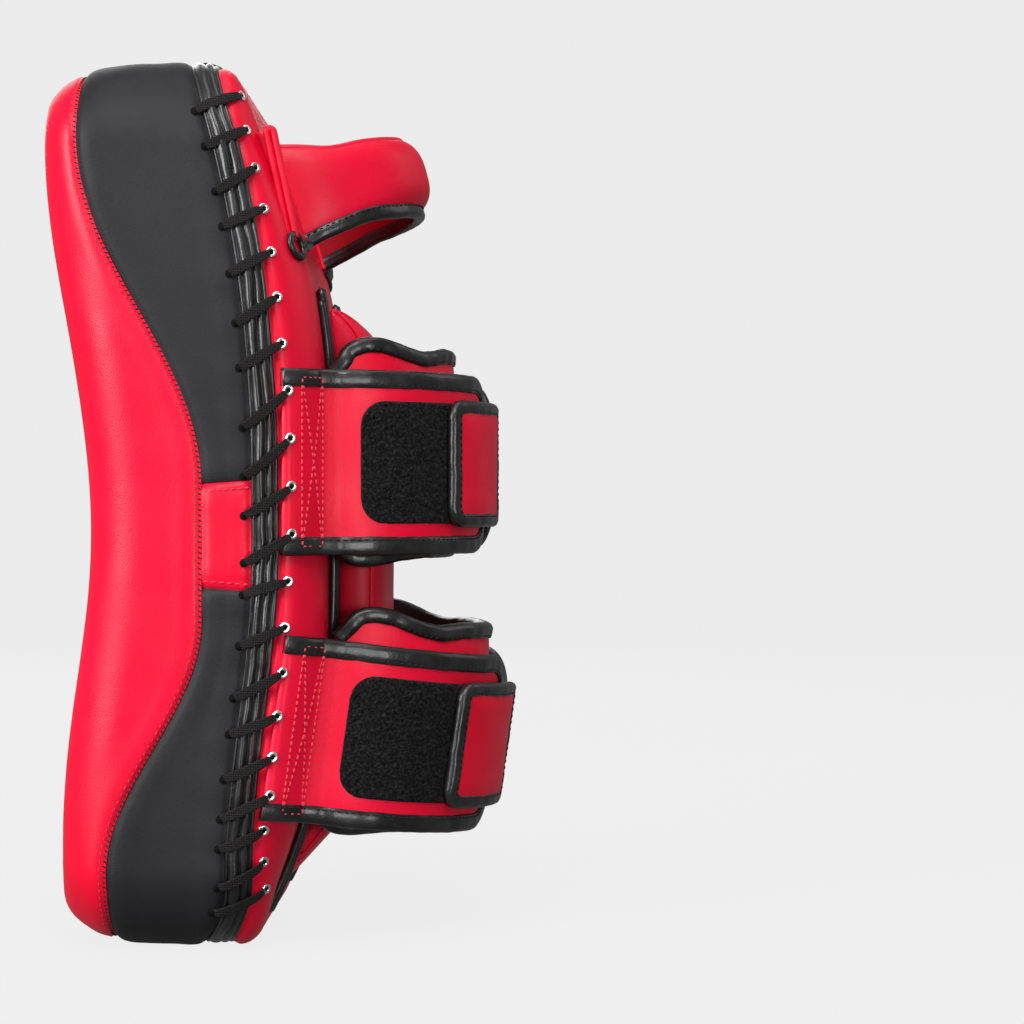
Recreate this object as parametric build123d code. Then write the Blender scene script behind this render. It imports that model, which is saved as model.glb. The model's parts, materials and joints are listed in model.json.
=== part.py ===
from build123d import *
import math
import os

# Thai pad, millimetres. +Z runs up the long axis, -Y faces the striker and +Y is the holder's side,
# which carries the forearm cushion, two closure levels and the hand loop. +X is the near side.

# Driving dimensions of the padded block
LENGTH = 391.0
HALF_WIDTH_TOP = 99.5
WIDTH_TAPER = 5.0
TAPER_HEIGHT = 250.0
FACE_MID = -85.5
FACE_DIP_TOP = 20.0
FACE_TOP_RUN = 170.0
FACE_DIP_BOTTOM = 12.5
FACE_BOTTOM_RUN = 140.0
FACE_CROWN = 4.0
BACK_MID = 22.0
BACK_DROP = 29.0
BACK_CENTRE = 187.0
BACK_SPAN = 172.0
FRONT_CORNER = 26.0
BACK_CORNER = 28.0
END_CORNER_X = 40.0
END_CORNER_FRONT = 18.0
END_CORNER_BACK = 6.0
END_SECTIONS = (0.0, 1.2, 4.0, 9.0, 16.0, 26.0, 40.0)
MIDDLE_SECTIONS = 9
CORNER_SHARE = 0.42
SKIN = 3.0

# Seams on the side walls
SEAM_STEPS = 18
PATCH_LOW = 160.0
PATCH_HIGH = 204.0
WAVE_MID = -30.0
WAVE_TOP_RUN = 55.0
WAVE_TOP_SPAN = 153.0
WAVE_BOTTOM_START = 146.0
WAVE_BOTTOM_RUN = 42.0
WAVE_BOTTOM_SPAN = 112.0
LACING_MID = -2.5
LACING_HEIGHT = 178.0
LACING_TOP_SWEEP = 22.0
LACING_TOP_SPAN = 190.0
LACING_BOTTOM_SWEEP = 12.0
LACING_BOTTOM_SPAN = 150.0
LACING_TOE = 12.0
LACING_TOE_SPAN = 30.0
LACING_HALF = 6.0

# Lace and eyelets
EYELET_MIDDLE = 201.0
EYELET_SPREAD = 173.0
EYELET_CROWDING = 0.13
EYELET_SAG = 8.0
EYELET_COUNT = 20
EYELET_OUTER = 2.3
EYELET_BORE = 1.3
EYELET_OFFSET = 3.9
EYELET_LENGTH = 2.2
EYELET_SINK = 0.9
LACE_WIDTH = 4.5
LACE_FRONT_REACH = 8.5
LACE_BACK_REACH = 8.0
LACE_LIFT = 0.8
LACE_THICK = 0.9
LACE_RISE = 9.0
TOP_LACE_PITCH = 22.0
TOP_LACE_COUNT = 5
TOP_LACE_SLANT = 5.0
TOP_LACE_FRONT = 8.0
TOP_LACE_BACK = 4.0

# Limits that clear the whole pad, for cuts
AHEAD = -160.0
BEHIND = 80.0
ASIDE = 140.0
OVERRUN = 20.0

# Foam layers, measured back from the striking face
STRIKE_FOAM_DEPTH = 34.0
CORE_FOAM_DEPTH = 72.0

# Forearm cushion
CUSHION_HALF_WIDTH = 45.0
CUSHION_CROWN = 27.0
CUSHION_TOP = 285.5
CUSHION_CREST = 258.0
CUSHION_NOSE = 28.0
CUSHION_BOTTOM = 15.0
CUSHION_RAMP = 66.0
CUSHION_RAMP_LEAD = 6.0
CUSHION_EDGE = 1.5
CUSHION_SKIN = 2.5
CUSHION_GAP = 0.6
PIPING = 4.6

# Straps and cuffs
STRAP_THICK = 2.6
BINDING_THICK = 4.4
BINDING_WIDTH = 8.0
ARCH_STEPS = 9
STRAP_HALF_HEIGHT = 40.0
STRAP_CORNER = 22.0
STRAP_END_ANGLE = 86.0
FAR_END_ANGLE = 97.0
PATCH_THICK = 1.0
PATCH_GAP = 0.06
LOOP_START = 13.0
LOOP_END = 77.0
HOOK_START = 52.0
HOOK_END = 76.0
HOOK_INSET = 7.0
PATCH_HALF_HEIGHT = 27.0
TAB_THICK = 3.0
TAB_HALF_HEIGHT = 28.0
TAB_CORNER = 9.0
TAB_INNER_CORNER = 5.0
TAB_LAST_ANGLE = 38.0
TAB_BINDING_WIDTH = 5.5
CUFF_HALF_WIDTH = 68.0
CUFF_THICK = 9.0
CUFF_SKIN = 2.0
CUFF_HALF_HEIGHT = 51.0
CUFF_BINDING = 6.0
CUFF_END_ANGLE = 1.0
HINGE_ANGLE = 62.0
ROOT_ANGLE = 33.0
ROOT_SETBACK = 2.5
HINGE_INSET = 14.0
HINGE_DEPTH = -1.7
ARCH_INSET = 15.0
FREE_START = 5.2
STRAP_CLEARANCE = 0.5
ARCH_SHIFT = 2.5
# name, height, backwards tilt in degrees, and the rise of the cuff, near strap and far strap
LEVELS = (
    ("upper", 214.0, 0.0, 55.0, 67.4, 73.0),
    ("lower", 97.0, 8.0, 70.0, 77.0, 82.6),
)
FOLD_X = -10.0
FOLD_GAP = 3.2
TAB_END = 61.0
NEAR_STRAP_END = 5.0

# Hand loop
HANDLE_HEIGHT = 335.0
HANDLE_TILT = 14.3
HANDLE_HALF_WIDTH = 60.0
HANDLE_REACH = 59.0
HANDLE_THICK = 14.0
HANDLE_SKIN = 2.5
HANDLE_ROOT_HALF = 26.0
HANDLE_GRIP_HALF = 19.5
HANDLE_BINDING = 6.5
HANDLE_TOP_EASE = 1.0
HANDLE_TAPER_SHARE = 0.7
HANDLE_TAPER_LEAD = 20.0
HANDLE_PAST_HALF = 12.0
FLANGE_GAP = 0.2
FLANGE_REACH = 20.0
FLANGE_EXTRA = 7.0
FLANGE_CLEARANCE = 0.2
FLANGE_THICK = 2.6


class Level:
    """One closure level: a cuff, a near strap, a far strap and its tab, square to the back cover."""

    def __init__(self, name, height, tilt, cuff_rise, near_rise, far_rise):
        self.name = name
        self.half = half_width(height)
        self.place = Location((0, back_y(height), height), (-tilt, 0, 0))
        self.cuff_rise = cuff_rise
        self.near_rise = near_rise
        self.far_rise = far_rise
        self.arch = self.half - ARCH_INSET


def swell(t):
    """Smooth step from 0 at t = 0 to 1 at t = 1."""
    t = min(max(t, 0.0), 1.0)
    return (1 - math.cos(math.pi * t)) / 2


def face_y(z):
    """The striking face's centre line: hollow at mid height, standing proud at both ends."""
    top = FACE_DIP_TOP * swell((z - BACK_CENTRE) / FACE_TOP_RUN)
    bottom = FACE_DIP_BOTTOM * swell((BACK_CENTRE - z) / FACE_BOTTOM_RUN)
    return FACE_MID - top - bottom


def back_y(z):
    """The back cover's line, bowed towards the holder."""
    return BACK_MID - BACK_DROP * abs((z - BACK_CENTRE) / BACK_SPAN) ** 3


def half_width(z):
    """Half the block's width, a little narrower towards the bottom end."""
    return HALF_WIDTH_TOP - WIDTH_TAPER * max(0.0, (TAPER_HEIGHT - z) / TAPER_HEIGHT) ** 1.5


def wave_y(z):
    """The seam where the striking cover meets the side gussets."""
    top = WAVE_TOP_RUN * swell((z - PATCH_HIGH) / WAVE_TOP_SPAN)
    bottom = WAVE_BOTTOM_RUN * swell((WAVE_BOTTOM_START - z) / WAVE_BOTTOM_SPAN)
    return WAVE_MID - top - bottom


def lacing_y(z):
    """The centre line of the lacing gusset on the side walls."""
    above = LACING_TOP_SWEEP * (max(0.0, z - LACING_HEIGHT) / LACING_TOP_SPAN) ** 2.6
    below = LACING_BOTTOM_SWEEP * swell((LACING_HEIGHT - z) / LACING_BOTTOM_SPAN)
    toe = LACING_TOE * max(0.0, 1 - max(z, 0.0) / LACING_TOE_SPAN) ** 2
    return LACING_MID - above - below - toe


def rounding(depth, radius):
    """How far a quarter-round edge stands in at this depth below its end."""
    if depth >= radius:
        return 0.0
    return radius - math.sqrt(radius**2 - (radius - max(depth, 0.0)) ** 2)


def section(z, skin):
    """The block's outline at height z, inset by skin."""
    depth = min(z, LENGTH - z) - skin
    half = half_width(z) - skin - rounding(depth, END_CORNER_X - skin)
    front = face_y(z) + skin + rounding(depth, END_CORNER_FRONT - skin)
    back = back_y(z) - skin - rounding(depth, max(END_CORNER_BACK - skin, 1.0))
    thick = back - front
    rf = min(FRONT_CORNER - skin, CORNER_SHARE * thick)
    rb = min(BACK_CORNER - skin, CORNER_SHARE * thick)
    shoulder = front + FACE_CROWN
    q = math.sqrt(0.5)
    fx = half - rf
    bx = half - rb
    edges = [
        ThreePointArc((-fx, shoulder), (0, front), (fx, shoulder)),
        ThreePointArc((fx, shoulder), (fx + rf * q, shoulder + rf * (1 - q)), (half, shoulder + rf)),
        Line((half, shoulder + rf), (half, back - rb)),
        ThreePointArc((half, back - rb), (bx + rb * q, back - rb * (1 - q)), (bx, back)),
        Line((bx, back), (-bx, back)),
        ThreePointArc((-bx, back), (-bx - rb * q, back - rb * (1 - q)), (-half, back - rb)),
        Line((-half, back - rb), (-half, shoulder + rf)),
        ThreePointArc((-half, shoulder + rf), (-fx - rf * q, shoulder + rf * (1 - q)), (-fx, shoulder)),
    ]
    return Pos(0, 0, z) * make_face(edges)


def block(skin):
    """The whole padded block, inset by skin all round."""
    low = [skin + s for s in END_SECTIONS]
    high = [LENGTH - skin - s for s in reversed(END_SECTIONS)]
    gap = (high[0] - low[-1]) / MIDDLE_SECTIONS
    middle = [low[-1] + gap * i for i in range(1, MIDDLE_SECTIONS)]
    return loft([section(z, skin) for z in low + middle + high])


def side_band(front_limit, back_limit, low, high):
    """A slab across the full width between two seam lines, each a function of height."""
    heights = [low + (high - low) * i / SEAM_STEPS for i in range(SEAM_STEPS + 1)]
    front = Spline([(front_limit(z), z) for z in heights])
    back = Spline([(back_limit(z), z) for z in heights])
    bottom = Line(front @ 0, back @ 0)
    top = Line(front @ 1, back @ 1)
    outline = make_face([front, top, back, bottom])
    return extrude(Plane.YZ * outline, amount=ASIDE, both=True)


def ahead(z):
    """A limit in front of the whole pad at every height."""
    return AHEAD


def behind(z):
    """A limit behind the whole pad at every height."""
    return BEHIND


def half_space(side):
    """Everything on the +X side (side = 1) or on the -X side (side = -1)."""
    return Pos(side * 150, 0, 195) * Box(300, 400, 500)


def covers(shell):
    """The sewn cover pieces, cut from one skin along their seams."""
    below, above = -OVERRUN, LENGTH + OVERRUN

    def lacing_front(z):
        return lacing_y(z) - LACING_HALF

    def lacing_back(z):
        return lacing_y(z) + LACING_HALF

    side = shell & side_band(wave_y, lacing_front, below, above)
    patches = side & side_band(ahead, behind, PATCH_LOW, PATCH_HIGH)
    return {
        "striking_cover": shell & side_band(ahead, wave_y, below, above),
        "upper_side_gusset": side & side_band(ahead, behind, PATCH_HIGH, above),
        "lower_side_gusset": side & side_band(ahead, behind, below, PATCH_LOW),
        "near_side_patch": patches & half_space(1),
        "far_side_patch": patches & half_space(-1),
        "lacing_gusset": shell & side_band(lacing_front, lacing_back, below, above),
        "back_cover": shell & side_band(lacing_back, behind, below, above),
    }


def foams(inner):
    """Three foam layers that fill the cover."""

    def strike_back(z):
        return face_y(z) + STRIKE_FOAM_DEPTH

    def core_back(z):
        return face_y(z) + CORE_FOAM_DEPTH

    span = (-OVERRUN, LENGTH + OVERRUN)
    return {
        "striking_foam": inner & side_band(ahead, strike_back, *span),
        "core_foam": inner & side_band(strike_back, core_back, *span),
        "back_foam": inner & side_band(core_back, behind, *span),
    }


def end_corner(z):
    """How far the outline's end corners stand back from the side wall at height z, and their slope upwards."""
    above = max(0.0, z - (LENGTH - END_CORNER_X))
    below = max(0.0, END_CORNER_X - z)
    slope = math.asin(min(1.0, (above + below) / END_CORNER_X))
    return END_CORNER_X * (1 - math.cos(slope)), math.degrees(slope if above > 0 else -slope)


def side_point(z, y):
    """Where the side wall, or its round on to the back, stands at height z and depth y."""
    centre = back_y(z) - BACK_CORNER
    wall = half_width(z) - end_corner(z)[0]
    if y <= centre:
        return wall, 0.0
    angle = math.asin(min(1.0, (y - centre) / BACK_CORNER))
    return wall - BACK_CORNER * (1 - math.cos(angle)), math.degrees(angle)


def eyelet_heights():
    """Heights of the eyelets, a little closer together towards both ends."""
    for i in range(EYELET_COUNT):
        place = 2 * i / (EYELET_COUNT - 1) - 1
        stretched = (1 + EYELET_CROWDING) * place - EYELET_CROWDING * place**3
        yield EYELET_MIDDLE + EYELET_SPREAD * stretched - EYELET_SAG * (1 - place**2)


def eyelet_places():
    """Centre and turn of each eyelet on the near side, along the back cover's edge."""
    for z in eyelet_heights():
        y = lacing_y(z) + LACING_HALF + EYELET_OFFSET
        x, angle = side_point(z, y)
        slope = end_corner(z)[1]
        yield Location((x, y, z), (0, 0, angle)) * Location((0, 0, 0), (0, 90 - slope, 0))


def eyelets():
    """One silver ring per lace crossing, on both sides, with the plug that cuts its hole."""
    rings, plugs = [], []
    for place in eyelet_places():
        plug = place * (Pos(0, 0, -EYELET_SINK) * Cylinder(EYELET_OUTER, EYELET_LENGTH))
        bore = place * Cylinder(EYELET_BORE, 6 * EYELET_LENGTH)
        for body in (plug, mirror(plug, about=Plane.YZ)):
            plugs.append(body)
        ring = plug - bore
        rings.append(ring)
        rings.append(mirror(ring, about=Plane.YZ))
    return rings, plugs


def lace_bar(start, end):
    """A flat bar between two points, as an outline of the lace's width."""
    run = math.dist(start, end)
    turn = math.degrees(math.atan2(end[1] - start[1], end[0] - start[0]))
    middle = ((start[0] + end[0]) / 2, (start[1] + end[1]) / 2)
    return Pos(*middle) * Rot(0, 0, turn) * Rectangle(run + 2.0, LACE_WIDTH)


def side_lace(film):
    """The lace's crossings on the near side, lying on the cover."""
    bars = []
    for z in eyelet_heights():
        low = z - LACE_RISE
        outline = lace_bar((lacing_y(low) - LACE_FRONT_REACH, low), (lacing_y(z) + LACE_BACK_REACH, z))
        bars.append(film & extrude(Plane.YZ * outline, amount=ASIDE))
    return bars


def top_lace(film):
    """The lace's crossings over the top end."""
    bars = []
    middle = (TOP_LACE_COUNT - 1) / 2
    y = lacing_y(LENGTH)
    for i in range(TOP_LACE_COUNT):
        x = (i - middle) * TOP_LACE_PITCH
        outline = lace_bar((x - TOP_LACE_SLANT, y - TOP_LACE_FRONT), (x + TOP_LACE_SLANT, y + TOP_LACE_BACK))
        bars.append(film & (Pos(0, 0, LENGTH - 12) * extrude(outline, amount=30)))
    return bars


def cushion_height(z):
    """The cushion's height above the back cover: a long ramp at the bottom, a short one on top."""
    ramp = CUSHION_CROWN * swell((z - CUSHION_BOTTOM + CUSHION_RAMP_LEAD) / CUSHION_RAMP)
    crown = CUSHION_CROWN * math.sqrt(max(0.0, 1 - max(0.0, (z - CUSHION_CREST) / CUSHION_NOSE) ** 2))
    return max(min(ramp, crown), CUSHION_EDGE)


def cushion(inset):
    """The forearm cushion, inset all round."""

    def base(z):
        return back_y(z) + CUSHION_GAP + inset

    def crown(z):
        return back_y(z) + CUSHION_GAP + max(cushion_height(z) - inset, inset + 0.4)

    slab = side_band(base, crown, CUSHION_BOTTOM + inset, CUSHION_TOP - inset)
    width = 2 * (CUSHION_HALF_WIDTH - inset)
    return slab & (Pos(0, 0, 195) * Box(width, 400, 500))


def cushion_parts():
    foam = cushion(CUSHION_SKIN)

    def base(z):
        return back_y(z) + CUSHION_GAP

    def top(z):
        return back_y(z) + CUSHION_GAP + PIPING

    cord = side_band(base, top, CUSHION_BOTTOM, CUSHION_TOP + 6.0)
    near = cord & (Pos(CUSHION_HALF_WIDTH + PIPING / 2 + 0.2, 0, 195) * Box(PIPING, 400, 500))
    return {
        "cushion_foam": foam,
        "cushion_cover": cushion(0.0) - foam,
        "near_cushion_piping": near,
        "far_cushion_piping": mirror(near, about=Plane.YZ),
    }


def arch_strip(centre_x, radius_x, radius_y, inner, outer, start, end, half_height):
    """A curved strip that stands on an elliptical arch, between two offsets from its line."""
    inside, outside = [], []
    for i in range(ARCH_STEPS + 1):
        angle = math.radians(start + (end - start) * i / ARCH_STEPS)
        point = Vector(centre_x + radius_x * math.cos(angle), radius_y * math.sin(angle))
        normal = Vector(math.cos(angle) / radius_x, math.sin(angle) / radius_y).normalized()
        inside.append(point + normal * inner)
        outside.append(point + normal * outer)
    a = Spline(inside)
    b = Spline(outside)
    outline = make_face([a, Line(a @ 1, b @ 1), b, Line(a @ 0, b @ 0)])
    return Pos(0, 0, -half_height) * extrude(outline, amount=2 * half_height)


def rounded_window(low_x, high_x, half_height, radius):
    """A prism along Y that gives a strap its round-cornered outline."""
    outline = RectangleRounded(high_x - low_x, 2 * half_height, radius)
    face = Plane.XZ * (Pos((low_x + high_x) / 2, 0) * outline)
    return extrude(face, amount=ASIDE, both=True)


def strap_root(level):
    """The sewn end of a near strap, on the round between the side wall and the back."""
    radius = BACK_CORNER + STRAP_CLEARANCE
    centre = Vector(level.half - BACK_CORNER, -BACK_CORNER)

    def at(r, degrees):
        angle = math.radians(degrees)
        return centre + Vector(r * math.cos(angle), r * math.sin(angle))

    middle = (ROOT_ANGLE + HINGE_ANGLE) / 2
    end = HINGE_ANGLE - ROOT_SETBACK
    inner = ThreePointArc(at(radius, ROOT_ANGLE), at(radius, middle), at(radius, end))
    outer_r = radius + STRAP_THICK
    outer = ThreePointArc(at(outer_r, ROOT_ANGLE), at(outer_r, middle), at(outer_r, end))
    outline = make_face([inner, Line(inner @ 1, outer @ 1), outer, Line(inner @ 0, outer @ 0)])
    return Pos(0, 0, -STRAP_HALF_HEIGHT) * extrude(outline, amount=2 * STRAP_HALF_HEIGHT)


def arch_start(radius_y):
    """The arch angle at which the free strap begins, clear of its hinge line."""
    return math.degrees(math.asin((HINGE_DEPTH + FREE_START) / radius_y))


def near_strap_parts(level):
    """The near strap, its binding and its loop patch, on the inner arch."""
    rx, ry = level.arch, level.near_rise
    start = arch_start(ry)
    edge = rounded_window(NEAR_STRAP_END, ASIDE, STRAP_HALF_HEIGHT, STRAP_CORNER)
    window = rounded_window(
        NEAR_STRAP_END + BINDING_WIDTH, ASIDE, STRAP_HALF_HEIGHT - BINDING_WIDTH, STRAP_CORNER - BINDING_WIDTH
    )
    half = STRAP_THICK / 2
    thick = BINDING_THICK / 2
    panel = arch_strip(0, rx, ry, -half, half, start, STRAP_END_ANGLE, STRAP_HALF_HEIGHT)
    rim = arch_strip(0, rx, ry, -thick, thick, start, STRAP_END_ANGLE, STRAP_HALF_HEIGHT)
    low, high = half + PATCH_GAP, half + PATCH_THICK
    loop = arch_strip(0, rx, ry, low, high, LOOP_START, LOOP_END, PATCH_HALF_HEIGHT)
    return panel & window, (rim & edge) - window, loop


def far_strap_parts(level):
    """The far strap and its binding, on the outer arch that passes over the near strap."""
    rx, ry = level.arch + ARCH_SHIFT, level.far_rise
    start = 180.0 - arch_start(ry)
    last = FOLD_X - FOLD_GAP
    edge = rounded_window(-ASIDE, last, STRAP_HALF_HEIGHT, STRAP_CORNER)
    window = rounded_window(
        -ASIDE, last - BINDING_WIDTH, STRAP_HALF_HEIGHT - BINDING_WIDTH, STRAP_CORNER - BINDING_WIDTH
    )
    half = STRAP_THICK / 2
    thick = BINDING_THICK / 2
    panel = arch_strip(ARCH_SHIFT, rx, ry, -half, half, FAR_END_ANGLE, start, STRAP_HALF_HEIGHT)
    rim = arch_strip(ARCH_SHIFT, rx, ry, -thick, thick, FAR_END_ANGLE, start, STRAP_HALF_HEIGHT)
    return panel & window, (rim & edge) - window


def tab_parts(level):
    """The closure tab, its binding and the hook patch inside it."""
    rx, ry = level.arch + ARCH_SHIFT, level.far_rise
    edge = rounded_window(-ASIDE, TAB_END, TAB_HALF_HEIGHT, TAB_CORNER)
    window = rounded_window(
        -ASIDE, TAB_END - TAB_BINDING_WIDTH, TAB_HALF_HEIGHT - TAB_BINDING_WIDTH, TAB_INNER_CORNER
    )
    half = TAB_THICK / 2
    thick = BINDING_THICK / 2
    first = math.degrees(math.acos((FOLD_X + FOLD_GAP - ARCH_SHIFT) / rx))
    panel = arch_strip(ARCH_SHIFT, rx, ry, -half, half, TAB_LAST_ANGLE, first, TAB_HALF_HEIGHT)
    rim = arch_strip(ARCH_SHIFT, rx, ry, -half, thick, TAB_LAST_ANGLE, first, TAB_HALF_HEIGHT)
    low, high = -half - PATCH_THICK, -half - PATCH_GAP
    hook = arch_strip(ARCH_SHIFT, rx, ry, low, high, HOOK_START, HOOK_END, TAB_HALF_HEIGHT - HOOK_INSET)
    return panel & window, (rim & edge) - window, hook


def cuff_parts(level):
    """The padded inner cuff: outer leather, foam, lining and bound edges."""
    rx, ry = CUFF_HALF_WIDTH, level.cuff_rise
    body = CUFF_HALF_HEIGHT - CUFF_BINDING
    start, end = CUFF_END_ANGLE, 180.0 - CUFF_END_ANGLE

    def ring(inner, outer, half_height):
        return arch_strip(0, rx, ry, -outer, -inner, start, end, half_height)

    whole = ring(0.0, CUFF_THICK, CUFF_HALF_HEIGHT)
    middle = Box(400, 400, 2 * body)
    skin = ring(0.0, CUFF_SKIN, body)
    foam = ring(CUFF_SKIN, CUFF_THICK - CUFF_SKIN, body)
    lining = ring(CUFF_THICK - CUFF_SKIN, CUFF_THICK, body)
    return skin, foam, lining, whole - middle


def closure_nodes(level, keep_out):
    """Every node of one closure level, in the pad's frame."""
    near, near_rim, loop = near_strap_parts(level)
    far, far_rim = far_strap_parts(level)
    tab, tab_rim, hook = tab_parts(level)
    skin, foam, lining, rim = cuff_parts(level)
    root = strap_root(level)
    parts = {
        "near_strap": near,
        "near_strap_binding": near_rim,
        "loop_patch": loop,
        "far_strap": far,
        "far_strap_binding": far_rim,
        "closure_tab": tab,
        "tab_binding": tab_rim,
        "hook_patch": hook,
    }
    rooted = {
        "near_strap_root": root,
        "far_strap_root": mirror(root, about=Plane.YZ),
        "cuff_cover": skin,
        "cuff_padding": foam,
        "cuff_lining": lining,
        "cuff_binding": rim,
    }
    nodes = {f"{level.name}_{key}": level.place * part for key, part in parts.items()}
    for key, part in rooted.items():
        nodes[f"{level.name}_{key}"] = (level.place * part) - keep_out
    return nodes


def handle_taper(low_trim):
    """Side view of the hand loop: tall at its roots and narrow at the grip."""
    root, grip = HANDLE_ROOT_HALF, HANDLE_GRIP_HALF
    knee = HANDLE_REACH * HANDLE_TAPER_SHARE
    tip = HANDLE_REACH + HANDLE_SKIN
    points = [
        (-HANDLE_TAPER_LEAD, -root - HANDLE_TOP_EASE + low_trim),
        (knee, -grip + low_trim),
        (tip, -grip + low_trim),
        (tip, grip),
        (knee, grip + HANDLE_TOP_EASE),
        (-HANDLE_TAPER_LEAD, root + HANDLE_TOP_EASE),
    ]
    return extrude(Plane.YZ * make_face(Polyline(*points, close=True)), amount=ASIDE, both=True)


def handle_parts():
    """The hand loop: leather band, grip foam, lining, bound lower edge and its two root flanges."""
    place = Location((0, back_y(HANDLE_HEIGHT), HANDLE_HEIGHT), (HANDLE_TILT, 0, 0))
    tall = HANDLE_ROOT_HALF + HANDLE_BINDING
    start, end = -HANDLE_PAST_HALF, 180.0 + HANDLE_PAST_HALF

    def ring(inner, outer):
        return arch_strip(0, HANDLE_HALF_WIDTH, HANDLE_REACH, -outer, -inner, start, end, tall)

    band = handle_taper(HANDLE_BINDING)
    outline = handle_taper(0.0)
    clear = block(-(FLANGE_GAP + FLANGE_THICK + FLANGE_CLEARANCE))
    cut = {
        "handle_cover": ring(0.0, HANDLE_SKIN) & band,
        "handle_foam": ring(HANDLE_SKIN, HANDLE_THICK - HANDLE_SKIN) & band,
        "handle_lining": ring(HANDLE_THICK - HANDLE_SKIN, HANDLE_THICK) & band,
        "handle_binding": (ring(0.0, HANDLE_THICK) & outline) - band,
    }
    nodes = {key: (place * part) - clear for key, part in cut.items()}
    film = block(-(FLANGE_GAP + FLANGE_THICK)) - block(-FLANGE_GAP)
    middle = HANDLE_HALF_WIDTH - HANDLE_THICK / 2 + 0.5
    pad = Pos(middle, FLANGE_REACH, HANDLE_HEIGHT) * Box(
        HANDLE_THICK + FLANGE_EXTRA, 3 * FLANGE_REACH, 2 * HANDLE_ROOT_HALF + 4.0
    )
    nodes["near_handle_flange"] = film & pad
    nodes["far_handle_flange"] = mirror(nodes["near_handle_flange"], about=Plane.YZ)
    return nodes


def build():
    outer = block(0.0)
    inner = block(SKIN)
    nodes = covers(outer - inner)
    nodes.update(foams(inner))
    rings, plugs = eyelets()
    nodes["eyelets"] = Compound(children=rings)
    for plug in plugs:
        nodes["back_cover"] = nodes["back_cover"] - plug
    film = block(-(LACE_LIFT + LACE_THICK)) - block(-LACE_LIFT)
    near = side_lace(film)
    nodes["near_lace"] = Compound(children=near)
    nodes["far_lace"] = Compound(children=[mirror(bar, about=Plane.YZ) for bar in near])
    nodes["top_lace"] = Compound(children=top_lace(film))
    nodes.update(cushion_parts())
    keep_out = block(-STRAP_CLEARANCE)
    for values in LEVELS:
        nodes.update(closure_nodes(Level(*values), keep_out))
    nodes.update(handle_parts())
    return nodes


os.makedirs("parts", exist_ok=True)
for node, shape in build().items():
    export_step(shape, f"parts/{node}.step")
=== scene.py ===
import json
import math
from collections import namedtuple

import bmesh
import bpy
import numpy as np
from mathutils import Matrix, Vector
from mathutils.bvhtree import BVHTree

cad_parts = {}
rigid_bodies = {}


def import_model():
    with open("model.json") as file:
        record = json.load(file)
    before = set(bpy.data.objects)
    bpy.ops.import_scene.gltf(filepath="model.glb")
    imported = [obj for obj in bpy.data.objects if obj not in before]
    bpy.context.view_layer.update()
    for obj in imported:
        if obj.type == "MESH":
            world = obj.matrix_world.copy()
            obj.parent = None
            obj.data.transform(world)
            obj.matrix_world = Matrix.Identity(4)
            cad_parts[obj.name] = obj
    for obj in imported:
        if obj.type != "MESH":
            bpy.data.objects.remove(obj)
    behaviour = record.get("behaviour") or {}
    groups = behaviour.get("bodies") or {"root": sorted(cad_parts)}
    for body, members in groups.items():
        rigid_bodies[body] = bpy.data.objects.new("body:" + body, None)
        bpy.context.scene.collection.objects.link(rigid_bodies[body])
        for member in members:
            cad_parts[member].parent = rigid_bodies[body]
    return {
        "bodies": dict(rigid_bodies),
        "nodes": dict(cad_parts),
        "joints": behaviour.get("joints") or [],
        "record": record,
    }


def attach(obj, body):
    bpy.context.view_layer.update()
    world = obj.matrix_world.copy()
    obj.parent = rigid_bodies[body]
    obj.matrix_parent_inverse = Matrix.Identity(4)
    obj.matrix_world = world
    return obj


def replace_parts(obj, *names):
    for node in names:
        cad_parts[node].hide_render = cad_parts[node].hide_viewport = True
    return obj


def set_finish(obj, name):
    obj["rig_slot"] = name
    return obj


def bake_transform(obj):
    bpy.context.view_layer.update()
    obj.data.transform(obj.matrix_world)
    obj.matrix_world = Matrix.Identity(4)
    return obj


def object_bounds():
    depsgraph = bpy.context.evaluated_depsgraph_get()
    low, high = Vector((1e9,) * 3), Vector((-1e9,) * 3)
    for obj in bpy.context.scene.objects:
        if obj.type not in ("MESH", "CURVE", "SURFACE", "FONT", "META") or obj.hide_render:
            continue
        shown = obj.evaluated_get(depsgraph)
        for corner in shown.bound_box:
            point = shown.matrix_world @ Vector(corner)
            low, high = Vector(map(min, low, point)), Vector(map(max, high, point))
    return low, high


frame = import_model()
cad_low, cad_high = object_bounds()

# Every length below is in millimetres, in the pad's frame, and is scaled once when a mesh is made.
MM = 0.001

# The padded block, as the CAD model has it
LENGTH = 391.0
HALF_WIDTH_TOP = 99.5
WIDTH_TAPER = 5.0
WIDTH_TAPER_FROM = 250.0
FACE_MID = -85.5
FACE_DIP_TOP = 20.0
FACE_DIP_BOTTOM = 12.5
FACE_TOP_SPAN = 170.0
FACE_LOW_SPAN = 140.0
FACE_CROWN = 4.0
FACE_CROWN_REACH = 72.0
BACK_MID = 22.0
BACK_DROP = 29.0
BACK_CENTRE = 187.0
BACK_SPAN = 172.0
CORNER = 40.0
FRONT_ROUND_SIDE = 26.0
FRONT_ROUND_END = 22.0
FRONT_DEPTH_END = 44.0
BACK_ROUND_SIDE = 28.0
BACK_ROUND_END = 6.0
END_FULLNESS = 4.0
TOP_FULL_INSET = 7.0
TOP_FULL_REACH = 16.0
LOW_FULL_INSET = 6.0
LOW_FULL_REACH = 14.0
PATCH_LOW = 160.0
PATCH_HIGH = 204.0
WAVE_MID = -30.0
WAVE_TOP_SWEEP = 55.0
WAVE_TOP_SPAN = 153.0
WAVE_LOW_SWEEP = 42.0
WAVE_LOW_START = 14.0
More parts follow.
